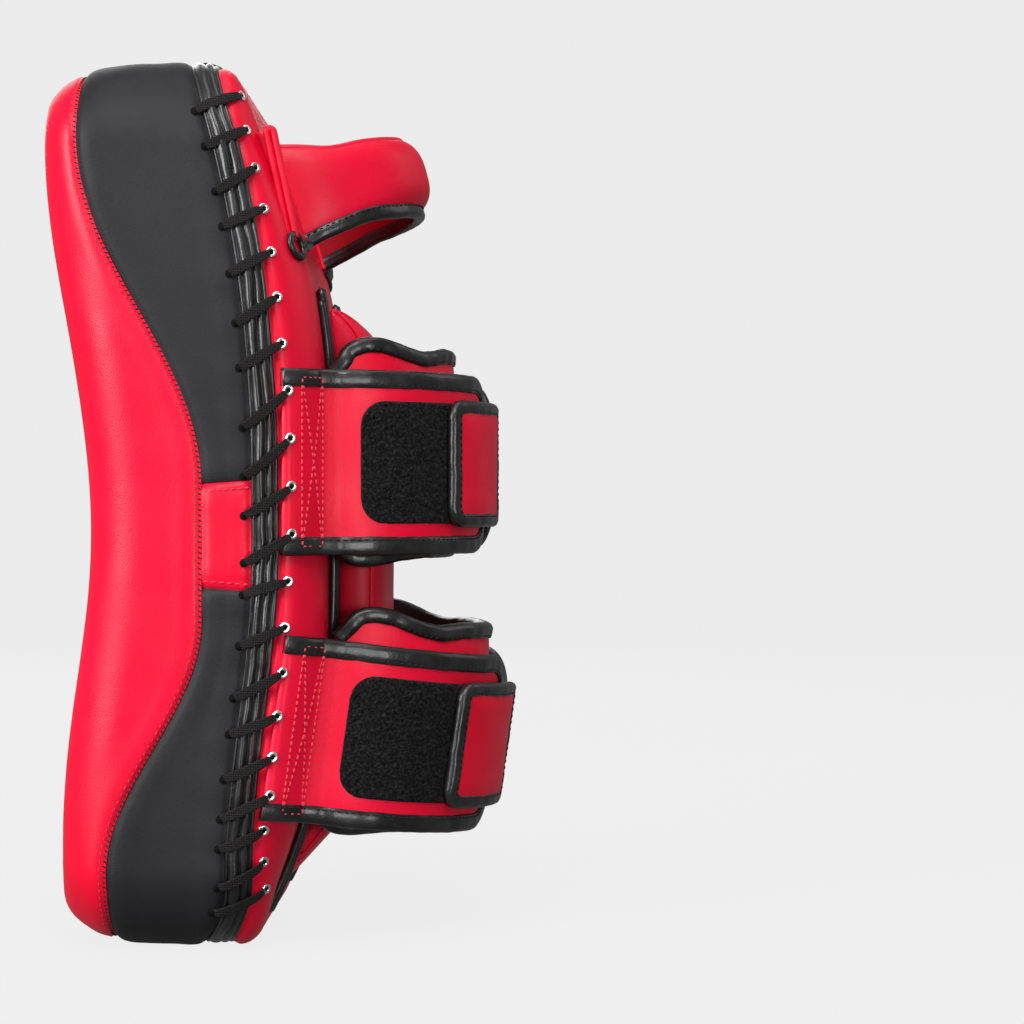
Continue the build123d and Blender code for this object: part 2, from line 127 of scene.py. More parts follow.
WAVE_LOW_SPAN = 112.0
LACING_HALF = 6.0
LACING_MID = -2.5
LACING_CENTRE = 178.0
LACING_TOP_SWEEP = 22.0
LACING_TOP_SPAN = 190.0
LACING_LOW_SWEEP = 12.0
LACING_LOW_SPAN = 150.0
LACING_TOE = 12.0
LACING_TOE_SPAN = 30.0

# Lace
LACE_MIDDLE = 201.0
LACE_SPREAD = 173.0
LACE_CROWDING = 0.13
LACE_SAG = 8.0
LACE_COUNT = 20
LACE_PITCH = 20.0
LACE_WIDTH = 5.0
LACE_THICK = 0.85

# Straps and cuffs
STRAP_HALF = 40.0
STRAP_CORNER = 24.0
FAR_CORNER = 36.0
STRAP_THICK = 2.8
BINDING_WIDTH = 7.6
PATCH_HALF = 27.0
PATCH_CORNER = 11.0
TAB_HALF = 28.0
TAB_END = 61.0
TAB_CORNER = 8.0
TAB_BINDING = 5.6
NEAR_END = 5.0
FOLD_X = -10.0
ARCH_INSET = 15.0
ARCH_SHIFT = 2.5
CUFF_HALF_WIDTH = 68.0
CUFF_THICK = 9.0
CUSHION_HALF = 45.0
CUSHION_CROWN = 27.0
CUSHION_TOP = 285.5
CUSHION_BOTTOM = 15.0
CUSHION_SLACK = 0.7
CUSHION_SWELL = 5.0
CUSHION_WALL = 0.76
CUSHION_RAMP = 66.0
CUSHION_SHOULDER = 258.0
CUSHION_NOSE = 28.0
HANDLE_HEIGHT = 335.0
HANDLE_TILT = 14.3
HANDLE_HALF_WIDTH = 60.0
HANDLE_REACH = 59.0
HANDLE_MID = 5.0


# ---------------------------------------------------------------- numbers and curves


def swell(t):
    """Smooth step from 0 at t = 0 to 1 at t = 1, for numbers or arrays."""
    return (1 - np.cos(np.pi * np.clip(t, 0.0, 1.0))) / 2


def face_y(z):
    """Depth of the striking face along its middle: it curls forward at both ends."""
    top = FACE_DIP_TOP * swell((z - BACK_CENTRE) / FACE_TOP_SPAN)
    return FACE_MID - top - FACE_DIP_BOTTOM * swell((BACK_CENTRE - z) / FACE_LOW_SPAN)


def back_y(z):
    """Depth of the back cover along its middle."""
    return BACK_MID - BACK_DROP * np.abs((z - BACK_CENTRE) / BACK_SPAN) ** 3


def half_width(z):
    return HALF_WIDTH_TOP - WIDTH_TAPER * np.maximum(0.0, (WIDTH_TAPER_FROM - z) / WIDTH_TAPER_FROM) ** 1.5


def wave_y(z):
    """Depth of the wave seam between the striking cover and the side panels."""
    top = WAVE_TOP_SWEEP * swell((z - PATCH_HIGH) / WAVE_TOP_SPAN)
    return WAVE_MID - top - WAVE_LOW_SWEEP * swell((PATCH_LOW - WAVE_LOW_START - z) / WAVE_LOW_SPAN)


def lacing_y(z):
    """Depth of the lacing gusset's middle line."""
    above = LACING_TOP_SWEEP * (np.maximum(0.0, z - LACING_CENTRE) / LACING_TOP_SPAN) ** 2.6
    below = LACING_LOW_SWEEP * swell((LACING_CENTRE - z) / LACING_LOW_SPAN)
    toe = LACING_TOE * np.maximum(0.0, 1 - np.maximum(z, 0.0) / LACING_TOE_SPAN) ** 2
    return LACING_MID - above - below - toe


RIPPLE_WAVES = 9


def ripple(points, size, seed):
    """A smooth random field from -1 to 1 over an array of points, with features about size mm across."""
    rng = np.random.default_rng(seed)
    points = np.asarray(points, float)
    total = np.zeros(points.shape[:-1])
    for _ in range(RIPPLE_WAVES):
        direction = rng.normal(size=3)
        direction /= np.linalg.norm(direction)
        length = size * rng.uniform(0.7, 2.0)
        total += np.sin(points @ direction * (2 * math.pi / length) + rng.uniform(0, 2 * math.pi))
    return total / RIPPLE_WAVES * 1.8


def unit(v):
    return v / np.maximum(np.linalg.norm(v, axis=-1, keepdims=True), 1e-9)


def along(points):
    """Distance along a polyline at each of its points."""
    steps = np.linalg.norm(np.diff(points, axis=0), axis=1)
    return np.concatenate([[0.0], np.cumsum(steps)])


def resample(points, places):
    """Points of a polyline at the given distances along it."""
    s = along(points)
    return np.stack([np.interp(places, s, points[:, k]) for k in range(points.shape[1])], axis=1)


def soften(points, rounds=3):
    """Corner cutting that keeps a polyline's two ends."""
    for _ in range(rounds):
        a = points[:-1] * 0.75 + points[1:] * 0.25
        b = points[:-1] * 0.25 + points[1:] * 0.75
        inner = np.empty((2 * len(a), points.shape[1]))
        inner[0::2], inner[1::2] = a, b
        points = np.vstack([points[:1], inner[1:-1], points[-1:]])
    return points


# ---------------------------------------------------------------- meshes


Look = namedtuple("Look", "material slot")
MERGE = 0.02


def make_object(name, vertices, faces, look):
    mesh = bpy.data.meshes.new(name)
    mesh.from_pydata((np.asarray(vertices, float) * MM).tolist(), [], [list(f) for f in faces])
    mesh.validate()
    mesh.shade_smooth()
    mesh.materials.append(look.material)
    obj = bpy.data.objects.new(name, mesh)
    bpy.context.scene.collection.objects.link(obj)
    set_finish(obj, look.slot)
    return obj


def grid_faces(rows, columns, wrap_rows=False, wrap_columns=False, first=0):
    faces = []
    for i in range(rows if wrap_rows else rows - 1):
        for j in range(columns if wrap_columns else columns - 1):
            a = first + i * columns + j
            b = first + i * columns + (j + 1) % columns
            c = first + ((i + 1) % rows) * columns + (j + 1) % columns
            d = first + ((i + 1) % rows) * columns + j
            faces.append((a, b, c, d))
    return faces


def tidy_mesh(obj):
    """Merges doubled points and turns all faces outwards."""
    bm = bmesh.new()
    bm.from_mesh(obj.data)
    bmesh.ops.remove_doubles(bm, verts=bm.verts, dist=MERGE * MM)
    bmesh.ops.dissolve_degenerate(bm, edges=bm.edges, dist=MERGE * MM * 0.2)
    bmesh.ops.recalc_face_normals(bm, faces=bm.faces)
    bm.to_mesh(obj.data)
    bm.free()
    obj.data.shade_smooth()
    return obj


def bake(obj):
    """Applies the modifiers, so that none is left on the piece."""
    shaped = obj.evaluated_get(bpy.context.evaluated_depsgraph_get())
    mesh = bpy.data.meshes.new_from_object(shaped)
    old, slots = obj.data, list(obj.data.materials)
    obj.modifiers.clear()
    obj.data = mesh
    mesh.materials.clear()
    for material in slots:
        mesh.materials.append(material)
    bpy.data.meshes.remove(old)
    mesh.shade_smooth()
    return obj


def positions(mesh):
    """A mesh's points as an array, in metres."""
    flat = np.empty(len(mesh.vertices) * 3, np.float64)
    mesh.vertices.foreach_get("co", flat)
    return flat.reshape(-1, 3)


SWELL_FRAMES = 20


def inflate(obj, voxel, pressure, cap, sewn):
    """Swells a closed padded piece as cloth under pressure, held where sewn(points) is true."""
    remesh = obj.modifiers.new("even", "REMESH")
    remesh.mode = "VOXEL"
    remesh.voxel_size = voxel * MM
    bake(obj)
    start = positions(obj.data)
    held = obj.vertex_groups.new(name="sewn")
    held.add([int(i) for i in np.flatnonzero(sewn(start / MM))], 1.0, "REPLACE")
    cloth_layer = obj.modifiers.new("swell", "CLOTH")
    settings = cloth_layer.settings
    settings.vertex_group_mass = "sewn"
    settings.use_pressure = True
    settings.uniform_pressure_force = pressure
    settings.effector_weights.gravity = 0.0
    scene = bpy.context.scene
    cloth_layer.point_cache.frame_start = 1
    cloth_layer.point_cache.frame_end = SWELL_FRAMES
    for frame in range(1, SWELL_FRAMES + 1):
        scene.frame_set(frame)
    shaped = obj.evaluated_get(bpy.context.evaluated_depsgraph_get())
    moved = positions(shaped.data) - start
    size = np.linalg.norm(moved, axis=1, keepdims=True) / MM
    eased = cap * np.tanh(size / cap)
    after = start + moved * eased / np.maximum(size, 1e-9)
    obj.modifiers.clear()
    obj.vertex_groups.clear()
    obj.data.vertices.foreach_set("co", after.ravel())
    scene.frame_set(1)
    round_off = obj.modifiers.new("round", "SUBSURF")
    round_off.levels = round_off.render_levels = 1
    return bake(obj)


def grid_normals(points):
    """Unit normals of a grid of points, from its two directions."""
    du = np.gradient(points, axis=0)
    dv = np.gradient(points, axis=1)
    return unit(np.cross(du, dv))


def skin(name, points, normals, thick, look, wrap_rows=False, rims=(0, -1)):
    """A closed thin skin: the grid, its copy set back along the normals, and a rim at each cut edge."""
    rows, columns = points.shape[:2]
    count = rows * columns
    faces = grid_faces(rows, columns, wrap_rows)
    back = [tuple(i + count for i in reversed(f)) for f in faces]
    rim = []

    def close(a, b, forward):
        quad = (a, b, b + count, a + count)
        rim.append(quad if forward else quad[::-1])

    for i in range(rows if wrap_rows else rows - 1):
        for edge, j in ((0, 0), (-1, columns - 1)):
            if edge in rims:
                close(i * columns + j, ((i + 1) % rows) * columns + j, edge == 0)
    if not wrap_rows:
        for j in range(columns - 1):
            for i in (0, rows - 1):
                close(i * columns + j, i * columns + j + 1, i > 0)
    vertices = np.vstack([points.reshape(-1, 3), (points - normals * thick).reshape(-1, 3)])
    return tidy_mesh(make_object(name, vertices, faces + back + rim, look))


def tube(name, sections, look, closed=False):
    """A closed body through a row of section loops, capped at both ends unless the row is itself closed."""
    sections = np.asarray(sections, float)
    rows, columns = sections.shape[:2]
    faces = grid_faces(rows, columns, closed, True)
    if not closed:
        faces.append(tuple(range(columns))[::-1])
        faces.append(tuple(range((rows - 1) * columns, rows * columns)))
    return tidy_mesh(make_object(name, sections.reshape(-1, 3), faces, look))


def frames_along(path, up):
    """Unit tangent, side and normal at each point of a path whose surface normals are up."""
    tangent = unit(np.gradient(path, axis=0))
    normal = unit(up - tangent * np.sum(up * tangent, axis=1, keepdims=True))
    return tangent, np.cross(normal, tangent), normal


def cord_tube(name, path, radius, look, up, sides=12, squeeze=1.0, closed=False):
    """A round cord along a path. squeeze flattens it towards the surface under it."""
    path = np.asarray(path, float)
    _, side, normal = frames_along(path, np.asarray(up, float))
    angle = np.linspace(0, 2 * np.pi, sides, endpoint=False)[None, :, None]
    radius = np.broadcast_to(radius, (len(path),))[:, None, None]
    ring = side[:, None] * np.cos(angle) + normal[:, None] * (np.sin(angle) * squeeze)
    return tube(name, path[:, None] + ring * radius, look, closed)


# A stitch row's gauge: the distance from stitch to stitch, a stitch's length and its width
STITCH_RING = 6
STITCH_STEPS = 5
STITCH_HEIGHT = 0.55


def stitches(name, path, up, gauge, look, tilt=0.0, lift=0.0):
    """A row of separate thread stitches, each a small capsule that dives into the surface at its ends."""
    pitch, length, width = gauge
    path, up = np.asarray(path, float), np.asarray(up, float)
    s = along(path)
    total = s[-1]
    count = max(1, int(total / pitch))
    places = (np.arange(count) + 0.5) * total / count
    centre = resample(path, places)
    normal_at = np.stack([np.interp(places, s, up[:, k]) for k in range(3)], axis=1)
    ahead = resample(path, np.clip(places + 0.4, 0, total)) - resample(path, np.clip(places - 0.4, 0, total))
    tangent = unit(ahead)
    normal = unit(normal_at - tangent * np.sum(normal_at * tangent, axis=1, keepdims=True))
    lean = math.radians(tilt)
    forward = tangent * math.cos(lean) + np.cross(normal, tangent) * math.sin(lean)
    across = np.cross(normal, forward)
    vertices, faces = [], []
    angles = np.linspace(0, 2 * np.pi, STITCH_RING, endpoint=False)
    for k in range(count):
        first = len(vertices)
        for t in np.linspace(-1, 1, STITCH_STEPS):
            bulge = math.sqrt(max(0.0, 1 - t**4)) + 0.08
            sink = -0.55 * width * abs(t) ** 3
            middle = centre[k] + forward[k] * (t * length / 2) + normal[k] * (lift + sink)
            for a in angles:
                wide = math.cos(a) * width / 2 * bulge
                high = math.sin(a) * width / 2 * bulge * STITCH_HEIGHT * 2
                vertices.append(middle + across[k] * wide + normal[k] * high)
        faces += grid_faces(STITCH_STEPS, STITCH_RING, False, True, first)
        last = first + (STITCH_STEPS - 1) * STITCH_RING
        faces.append(tuple(first + i for i in reversed(range(STITCH_RING))))
        faces.append(tuple(last + i for i in range(STITCH_RING)))
    return make_object(name, vertices, faces, look)


def join(name, objects):
    """Several meshes of one material as one object."""
    bm = bmesh.new()
    for obj in objects:
        bm.from_mesh(obj.data)
    mesh = bpy.data.meshes.new(name)
    bm.to_mesh(mesh)
    bm.free()
    mesh.shade_smooth()
    mesh.materials.append(objects[0].data.materials[0])
    joined = bpy.data.objects.new(name, mesh)
    bpy.context.scene.collection.objects.link(joined)
    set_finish(joined, objects[0]["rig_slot"])
    for obj in objects:
        bpy.data.objects.remove(obj)
    return joined


# ---------------------------------------------------------------- materials


class Nodes:
    """A short way to write a node material."""

    def __init__(self, name):
        self.material = bpy.data.materials.new(name)
        self.material.use_nodes = True
        self.tree = self.material.node_tree
        self.shader = next(n for n in self.tree.nodes if n.type == "BSDF_PRINCIPLED")
        self.place = self.tree.nodes.new("ShaderNodeTexCoord").outputs["Object"]

    def link(self, a, b):
        self.tree.links.new(a, b)

    def node(self, kind, **values):
        made = self.tree.nodes.new(kind)
        for key, value in values.items():
            if hasattr(made, key):
                setattr(made, key, value)
            else:
                made.inputs[key.replace("_", " ")].default_value = value
        return made

    def noise(self, scale, detail=3.0, rough=0.55, stretch=None):
        made = self.node("ShaderNodeTexNoise", Scale=scale, Detail=detail, Roughness=rough)
        self.link(self.stretched(stretch), made.inputs["Vector"])
        return made.outputs["Fac"]

    def cells(self, scale, feature="F1"):
        made = self.node("ShaderNodeTexVoronoi", feature=feature, Scale=scale)
        self.link(self.place, made.inputs["Vector"])
        return made.outputs["Distance"]

    def stretched(self, stretch):
        if stretch is None:
            return self.place
        made = self.node("ShaderNodeMapping")
        made.inputs["Scale"].default_value = stretch
        self.link(self.place, made.inputs["Vector"])
        return made.outputs["Vector"]

    def waves(self, scale, direction, distortion=0.0):
        made = self.node("ShaderNodeTexWave", bands_direction=direction, Scale=scale, Distortion=distortion)
        self.link(self.place, made.inputs["Vector"])
        return made.outputs["Fac"]

    def ramp(self, value, low, high, out_low=0.0, out_high=1.0):
        made = self.node("ShaderNodeMapRange")
        for key, number in (("From Min", low), ("From Max", high), ("To Min", out_low), ("To Max", out_high)):
            made.inputs[key].default_value = number
        self.link(value, made.inputs["Value"])
        return made.outputs["Result"]

    def maths(self, kind, a, b):
        made = self.node("ShaderNodeMath", operation=kind)
        for socket, value in zip(made.inputs, (a, b)):
            if isinstance(value, (int, float)):
                socket.default_value = value
            else:
                self.link(value, socket)
        return made.outputs[0]

    def blend(self, amount, a, b):
        """A colour mix by amount: a where it is 0 and b where it is 1."""
        made = self.node("ShaderNodeMix", data_type="RGBA")
        self.link(amount, made.inputs["Factor"])
        for socket, value in ((made.inputs[6], a), (made.inputs[7], b)):
            if isinstance(value, tuple):
                socket.default_value = (*value, 1.0)
            else:
                self.link(value, socket)
        return made.outputs[2]

    def edges(self, low, high):
        """1 on sharp convex edges, 0 elsewhere."""
        made = self.node("ShaderNodeNewGeometry")
        return self.ramp(made.outputs["Pointiness"], low, high)

    def bump(self, height, strength, distance, under=None):
        made = self.node("ShaderNodeBump", Strength=strength, Distance=distance)
        self.link(height, made.inputs["Height"])
        if under is not None:
            self.link(under, made.inputs["Normal"])
        self.link(made.outputs["Normal"], self.shader.inputs["Normal"])
        return made.outputs["Normal"]

    def set(self, **values):
        for key, value in values.items():
            socket = self.shader.inputs[key.replace("_", " ")]
            if isinstance(value, tuple) and len(value) == 3:
                value = (*value, 1.0)
            if hasattr(value, "is_output"):
                self.link(value, socket)
            else:
                socket.default_value = value
        return self.material


def leather(name, colours, rough, grain, grain_size, shine):
    """Grained leather: pebbled bump, soft colour drift, paler worn edges and uneven gloss."""
    n = Nodes(name)
    colour, shade, worn = colours
    drift = n.noise(14.0, 4.0)
    mottled = n.blend(n.ramp(drift, 0.35, 0.7), colour, shade)
    pebbles = n.cells(grain_size)
    fine = n.noise(grain_size * 2.6, 4.0, 0.6)
    creased = n.blend(n.ramp(pebbles, 0.62, 0.95, 0.0, 0.35), mottled, shade)
    coloured = n.blend(n.maths("MULTIPLY", n.edges(0.53, 0.62), 0.55), creased, worn)
    height = n.maths("ADD", n.maths("MULTIPLY", pebbles, -0.8), n.maths("MULTIPLY", fine, 0.45))
    soft = n.bump(n.noise(90.0, 3.0), 0.10, 0.0012)
    n.bump(height, grain, 0.0003, soft)
    uneven = n.ramp(n.noise(38.0, 3.0), 0.3, 0.7, rough - 0.05, rough + 0.07)
    return n.set(Base_Color=coloured, Roughness=uneven, Specular_IOR_Level=shine)


def coated(name, colour, rough, coat):
    """Glossy coated binding leather with fine creases across it."""
    n = Nodes(name)
    crease = n.noise(420.0, 5.0, 0.65)
    lines = n.cells(520.0, "DISTANCE_TO_EDGE")
    height = n.maths("ADD", crease, n.maths("MULTIPLY", n.ramp(lines, 0.0, 0.12), 0.6))
    soft = n.bump(n.noise(120.0, 3.0), 0.25, 0.0012)
    n.bump(height, 0.16, 0.0003, soft)
    lifted = tuple(c * 2.2 + 0.012 for c in colour)
    coloured = n.blend(n.ramp(n.noise(60.0, 4.0), 0.4, 0.75), colour, lifted)
    uneven = n.ramp(n.noise(75.0, 3.0), 0.3, 0.7, rough - 0.05, rough + 0.10)
    return n.set(Base_Color=coloured, Roughness=uneven, Coat_Weight=coat, Coat_Roughness=0.12)


def cloth(name, colour, lift, rough, thread, depth, sheen):
    """Woven cloth: two crossing rows of threads, sheen and slight fading."""
    n = Nodes(name)
    warp = n.waves(thread, "Z", 0.6)
    weft = n.waves(thread, "Y", 0.6)
    weave = n.maths("MAXIMUM", warp, weft)
    fuzz = n.noise(thread * 3.0, 4.0, 0.7)
    height = n.maths("ADD", weave, n.maths("MULTIPLY", fuzz, 0.7))
    n.bump(height, 0.6, depth)
    coloured = n.blend(n.ramp(n.maths("MULTIPLY", weave, fuzz), 0.15, 0.6), colour, lift)
    return n.set(
        Base_Color=coloured, Roughness=rough, Sheen_Weight=sheen, Sheen_Roughness=0.5, Specular_IOR_Level=0.2
    )


def fuzzy(name, colour, lift, scale, depth):
    """Loop pile: short tangled fibres."""
    n = Nodes(name)
    fibres = n.noise(scale, 8.0, 0.75)
    clumps = n.noise(scale * 0.22, 4.0, 0.6)
    height = n.maths("ADD", fibres, clumps)
    n.bump(height, 0.9, depth)
    coloured = n.blend(n.ramp(fibres, 0.45, 0.72), colour, lift)
    return n.set(
        Base_Color=coloured, Roughness=0.95, Sheen_Weight=0.04, Sheen_Roughness=0.4, Specular_IOR_Level=0.15
    )


def metal(name, colour, rough):
    n = Nodes(name)
    scratches = n.noise(900.0, 4.0, 0.6, (1.0, 1.0, 6.0))
    n.bump(scratches, 0.08, 0.0002)
    tarnish = n.blend(n.ramp(n.noise(220.0, 3.0), 0.5, 0.8), colour, tuple(c * 0.55 for c in colour))
    uneven = n.ramp(n.noise(300.0, 3.0), 0.3, 0.7, rough, rough + 0.14)
    return n.set(Base_Color=tarnish, Metallic=1.0, Roughness=uneven)


def thread(name, colour, lift):
    n = Nodes(name)
    twist = n.waves(1400.0, "DIAGONAL", 1.0)
    n.bump(twist, 0.5, 0.0002)
    coloured = n.blend(twist, colour, lift)
    return n.set(
        Base_Color=coloured, Roughness=0.7, Sheen_Weight=0.05, Sheen_Roughness=0.5, Specular_IOR_Level=0.25
    )


RED_LEATHER = ((0.80, 0.0006, 0.034), (0.68, 0.0005, 0.022), (0.88, 0.02, 0.06))
# The lining is the red leather at half its brightness: painted shade on its inward faces inside the cuffs and
# the hand loop
LINING_PAINTED_SHADE = ((0.40, 0.001, 0.010), (0.30, 0.001, 0.008), (0.5, 0.02, 0.04))
BLACK_LEATHER = ((0.020, 0.019, 0.021), (0.013, 0.0125, 0.014), (0.06, 0.06, 0.064))

RED = Look(leather("red_leather", RED_LEATHER, 0.40, 0.20, 1100.0, 0.26), "red_leather")
SHADED_LINING_RED = Look(leather("deep_red", LINING_PAINTED_SHADE, 0.55, 0.30, 1100.0, 0.32), "lining")
BLACK = Look(leather("black_leather", BLACK_LEATHER, 0.55, 0.30, 900.0, 0.2), "black_leather")
GLOSS = Look(coated("gloss_binding", (0.004, 0.004, 0.0045), 0.32, 0.20), "gloss_binding")
LACE = Look(
    cloth("lace_weave", (0.003, 0.0027, 0.0027), (0.019, 0.0165, 0.016), 0.8, 300.0, 0.0007, 0.03), "lace"
)
PILE = Look(fuzzy("loop_pile", (0.0015, 0.0015, 0.0015), (0.040, 0.040, 0.042), 850.0, 0.0009), "loop_fabric")
HOOKS = Look(fuzzy("hook_tape", (0.006, 0.006, 0.006), (0.03, 0.03, 0.03), 2200.0, 0.0006), "hook_tape")
SILVER = Look(metal("eyelet_metal", (0.86, 0.85, 0.84), 0.16), "eyelet_metal")
HOLE = Look(
    cloth("hole_shadow", (0.001, 0.001, 0.001), (0.003, 0.003, 0.003), 0.95, 900.0, 0.0002, 0.0), "lace"
)
BLACK_THREAD = Look(thread("black_thread", (0.004, 0.004, 0.004), (0.02, 0.02, 0.02)), "gloss_binding")
WHIP_THREAD = Look(BLACK_THREAD.material, "black_leather")
RED_THREAD = Look(thread("red_thread", (0.74, 0.03, 0.06), (0.92, 0.10, 0.15)), "red_leather")
FACE_THREAD = Look(thread("face_thread", (0.52, 0.004, 0.016), (0.80, 0.05, 0.09)), "red_leather")

# ---------------------------------------------------------------- the padded block


OUTLINE_STEP = 2.4
PATCH_PLACES = max(2, int((PATCH_HIGH - PATCH_LOW) / OUTLINE_STEP))


def outline():
    """Points and outward normals round the block's front outline, from the near side's patch upwards."""
    points, normals = [], []

    def run(z0, z1, side):
        count = max(2, int(abs(z1 - z0) / OUTLINE_STEP))
        for z in np.linspace(z0, z1, count, endpoint=False):
            points.append((side * float(half_width(z)), z))
            normals.append((side, 0.0))

    def corner(cx, cz, start):
        count = int(CORNER * math.pi / 2 / OUTLINE_STEP)
        for angle in np.linspace(start, start + 90.0, count, endpoint=False):
            a = math.radians(angle)
            points.append((cx + CORNER * math.cos(a), cz + CORNER * math.sin(a)))
            normals.append((math.cos(a), math.sin(a)))

    def level(x0, x1, z, turn):
        for x in np.linspace(x0, x1, int(abs(x1 - x0) / OUTLINE_STEP), endpoint=False):
            points.append((x, z))
            normals.append((0.0, turn))

    top, low = LENGTH - CORNER, CORNER
    wide, narrow = float(half_width(top)) - CORNER, float(half_width(low)) - CORNER
    run(PATCH_LOW, PATCH_HIGH, 1)
    run(PATCH_HIGH, top, 1)
    corner(wide, top, 0.0)
    level(wide, -wide, LENGTH, 1.0)
    corner(-wide, top, 90.0)
    run(top, PATCH_HIGH, -1)
    run(PATCH_HIGH, PATCH_LOW, -1)
    run(PATCH_LOW, low, -1)
    corner(-narrow, low, 180.0)
    level(-narrow, narrow, 0.0, -1.0)
    corner(narrow, low, 270.0)
    run(low, PATCH_LOW, 1)
    return np.array(points), np.array(normals)


MIDDLE_STEPS = 22
ROUND_STEPS = 15
DEEP_INSET = 34.0
SPINE_LOW = 70.0
SPINE_HIGH = 320.0


def block_column(point, normal):
    """One line over the block, from the face's middle round the outline to the back's middle."""
    share = normal[1] ** 2
    front_round = FRONT_ROUND_SIDE + (FRONT_ROUND_END - FRONT_ROUND_SIDE) * share
    front_depth = FRONT_ROUND_SIDE + (FRONT_DEPTH_END - FRONT_ROUND_SIDE) * share
    back_round = BACK_ROUND_SIDE + (BACK_ROUND_END - BACK_ROUND_SIDE) * share
    deep = point - normal * DEEP_INSET
    spine = np.array([0.0, np.clip(deep[1], SPINE_LOW, SPINE_HIGH)])
    middle = spine + (deep - spine) * np.linspace(0, 1, MIDDLE_STEPS)[:-1, None]
    turn = np.linspace(0, np.pi / 2, ROUND_STEPS)

    def shoulder(radius, depth):
        inset = np.concatenate([np.linspace(DEEP_INSET, radius, 4)[:-1], radius - radius * np.sin(turn)])
        drop = np.concatenate([np.zeros(3), depth - depth * np.cos(turn)])
        return point - normal * inset[:, None], drop

    def face(xz, drop):
        x, z = xz.T
        crown = FACE_CROWN * np.clip(np.abs(x) / FACE_CROWN_REACH, 0, 1) ** 2
        return np.stack([x, face_y(z) + crown + drop, z], axis=1)

    def back(xz, drop):
        x, z = xz.T
        top = np.exp(-(((z - LENGTH + TOP_FULL_INSET) / TOP_FULL_REACH) ** 2))
        low = np.exp(-(((z - LOW_FULL_INSET) / LOW_FULL_REACH) ** 2))
        return np.stack([x, back_y(z) + END_FULLNESS * (top + low) - drop, z], axis=1)

    level = np.zeros(len(middle))
    front = np.vstack([face(middle, level), face(*shoulder(front_round, front_depth))])
    rear = np.vstack([back(middle, level), back(*shoulder(back_round, back_round))])[::-1]
    wall = np.linspace(front[-1], rear[0], MIDDLE_STEPS)[1:-1]
    return np.vstack([front, wall, rear]), len(middle)


FACE_ROWS = 46
SIDE_ROWS = 34
LACING_ROWS = 56
BACK_ROWS = 44
SEAM_SHARE = 1.6
PATCH_FLARE = 2.2
BLOCK_MIDDLE = (0.0, -32.0, 195.0)


def crowded(count, start, end):
    """Places from 0 to 1, closer together at the ends that have a seam."""
    t = np.linspace(0, 1, count)
    if start and end:
        return (1 - np.cos(np.pi * t)) / 2
    if end:
        return 1 - (1 - t) ** SEAM_SHARE
    return t**SEAM_SHARE


def block_surface():
    """The outline, and the block's four zones, each a grid by outline place and by place across."""
    points, normals = outline()
    zones = {"face": [], "side": [], "lacing": [], "back": []}
    for point, normal in zip(points, normals):
        line, shoulder = block_column(point, normal)
        s = along(line)
        y = np.maximum.accumulate(line[shoulder:, 1])
        z = point[1]
        wave, front, rear = np.interp(
            [wave_y(z), lacing_y(z) - LACING_HALF, lacing_y(z) + LACING_HALF], y, s[shoulder:]
        )
        places = {
            "face": crowded(FACE_ROWS, False, True) * wave,
            "side": wave + crowded(SIDE_ROWS, True, True) * (front - wave),
            "lacing": np.linspace(front, rear, LACING_ROWS),
            "back": rear + crowded(BACK_ROWS, True, False) * (s[-1] - rear),
        }
        for key, where in places.items():
            zones[key].append(resample(line, where))
    return points, {key: np.array(grid) for key, grid in zones.items()}


def ring_normals(grid):
    """Outward normals of a grid that closes on itself round the outline."""
    padded = np.concatenate([grid[-1:], grid, grid[:1]])
    normals = grid_normals(padded)[1:-1]
    outward = np.sign(np.sum(normals * (grid - np.array(BLOCK_MIDDLE)), axis=-1, keepdims=True))
    return normals * np.where(outward == 0, 1, outward)


def spine_normals(line, z, turn):
    """Normals on the middle line of the face or the back, where both halves meet."""
    slope = (line(z + 1.0) - line(z - 1.0)) / 2
    return unit(np.stack([np.zeros_like(z), np.full_like(z, turn), -turn * slope], axis=1))


def edge_distance(grid, start, end):
    """Distance along each column to the nearest of the seams named, at its start or its end."""
    steps = np.linalg.norm(np.diff(grid, axis=1), axis=2)
    s = np.concatenate([np.zeros((len(grid), 1)), np.cumsum(steps, axis=1)], axis=1)
    far = np.full_like(s, 1e3)
    return np.minimum(s if start else far, s[:, -1:] - s if end else far)


PUFF_AT = 7.0
PUFF_REACH = 5.0


def seam_dip(distance, depth=1.3, reach=2.0, puff=0.5):
    """Leather sinks into a seam and swells just beside it."""
    beside = np.exp(-(((distance - PUFF_AT) / PUFF_REACH) ** 2))
    return -depth * np.exp(-((distance / reach) ** 2)) + puff * beside


HOLE_DROP = 9.0


def pull(z, distance, reach=7.0, depth=0.45):
    """Puckers that each lace crossing pulls in the leather beside it."""
    phase = (z - LACE_MIDDLE + LACE_SAG) / LACE_PITCH + 0.5
    return depth * np.cos(2 * np.pi * phase) * np.exp(-distance / reach)


FLUTES = ((0.0, 0.13, 1.5), (0.13, 0.50, 3.1), (0.50, 0.80, 2.7), (0.80, 1.0, 1.7))
GROOVE_FLOOR = 0.35


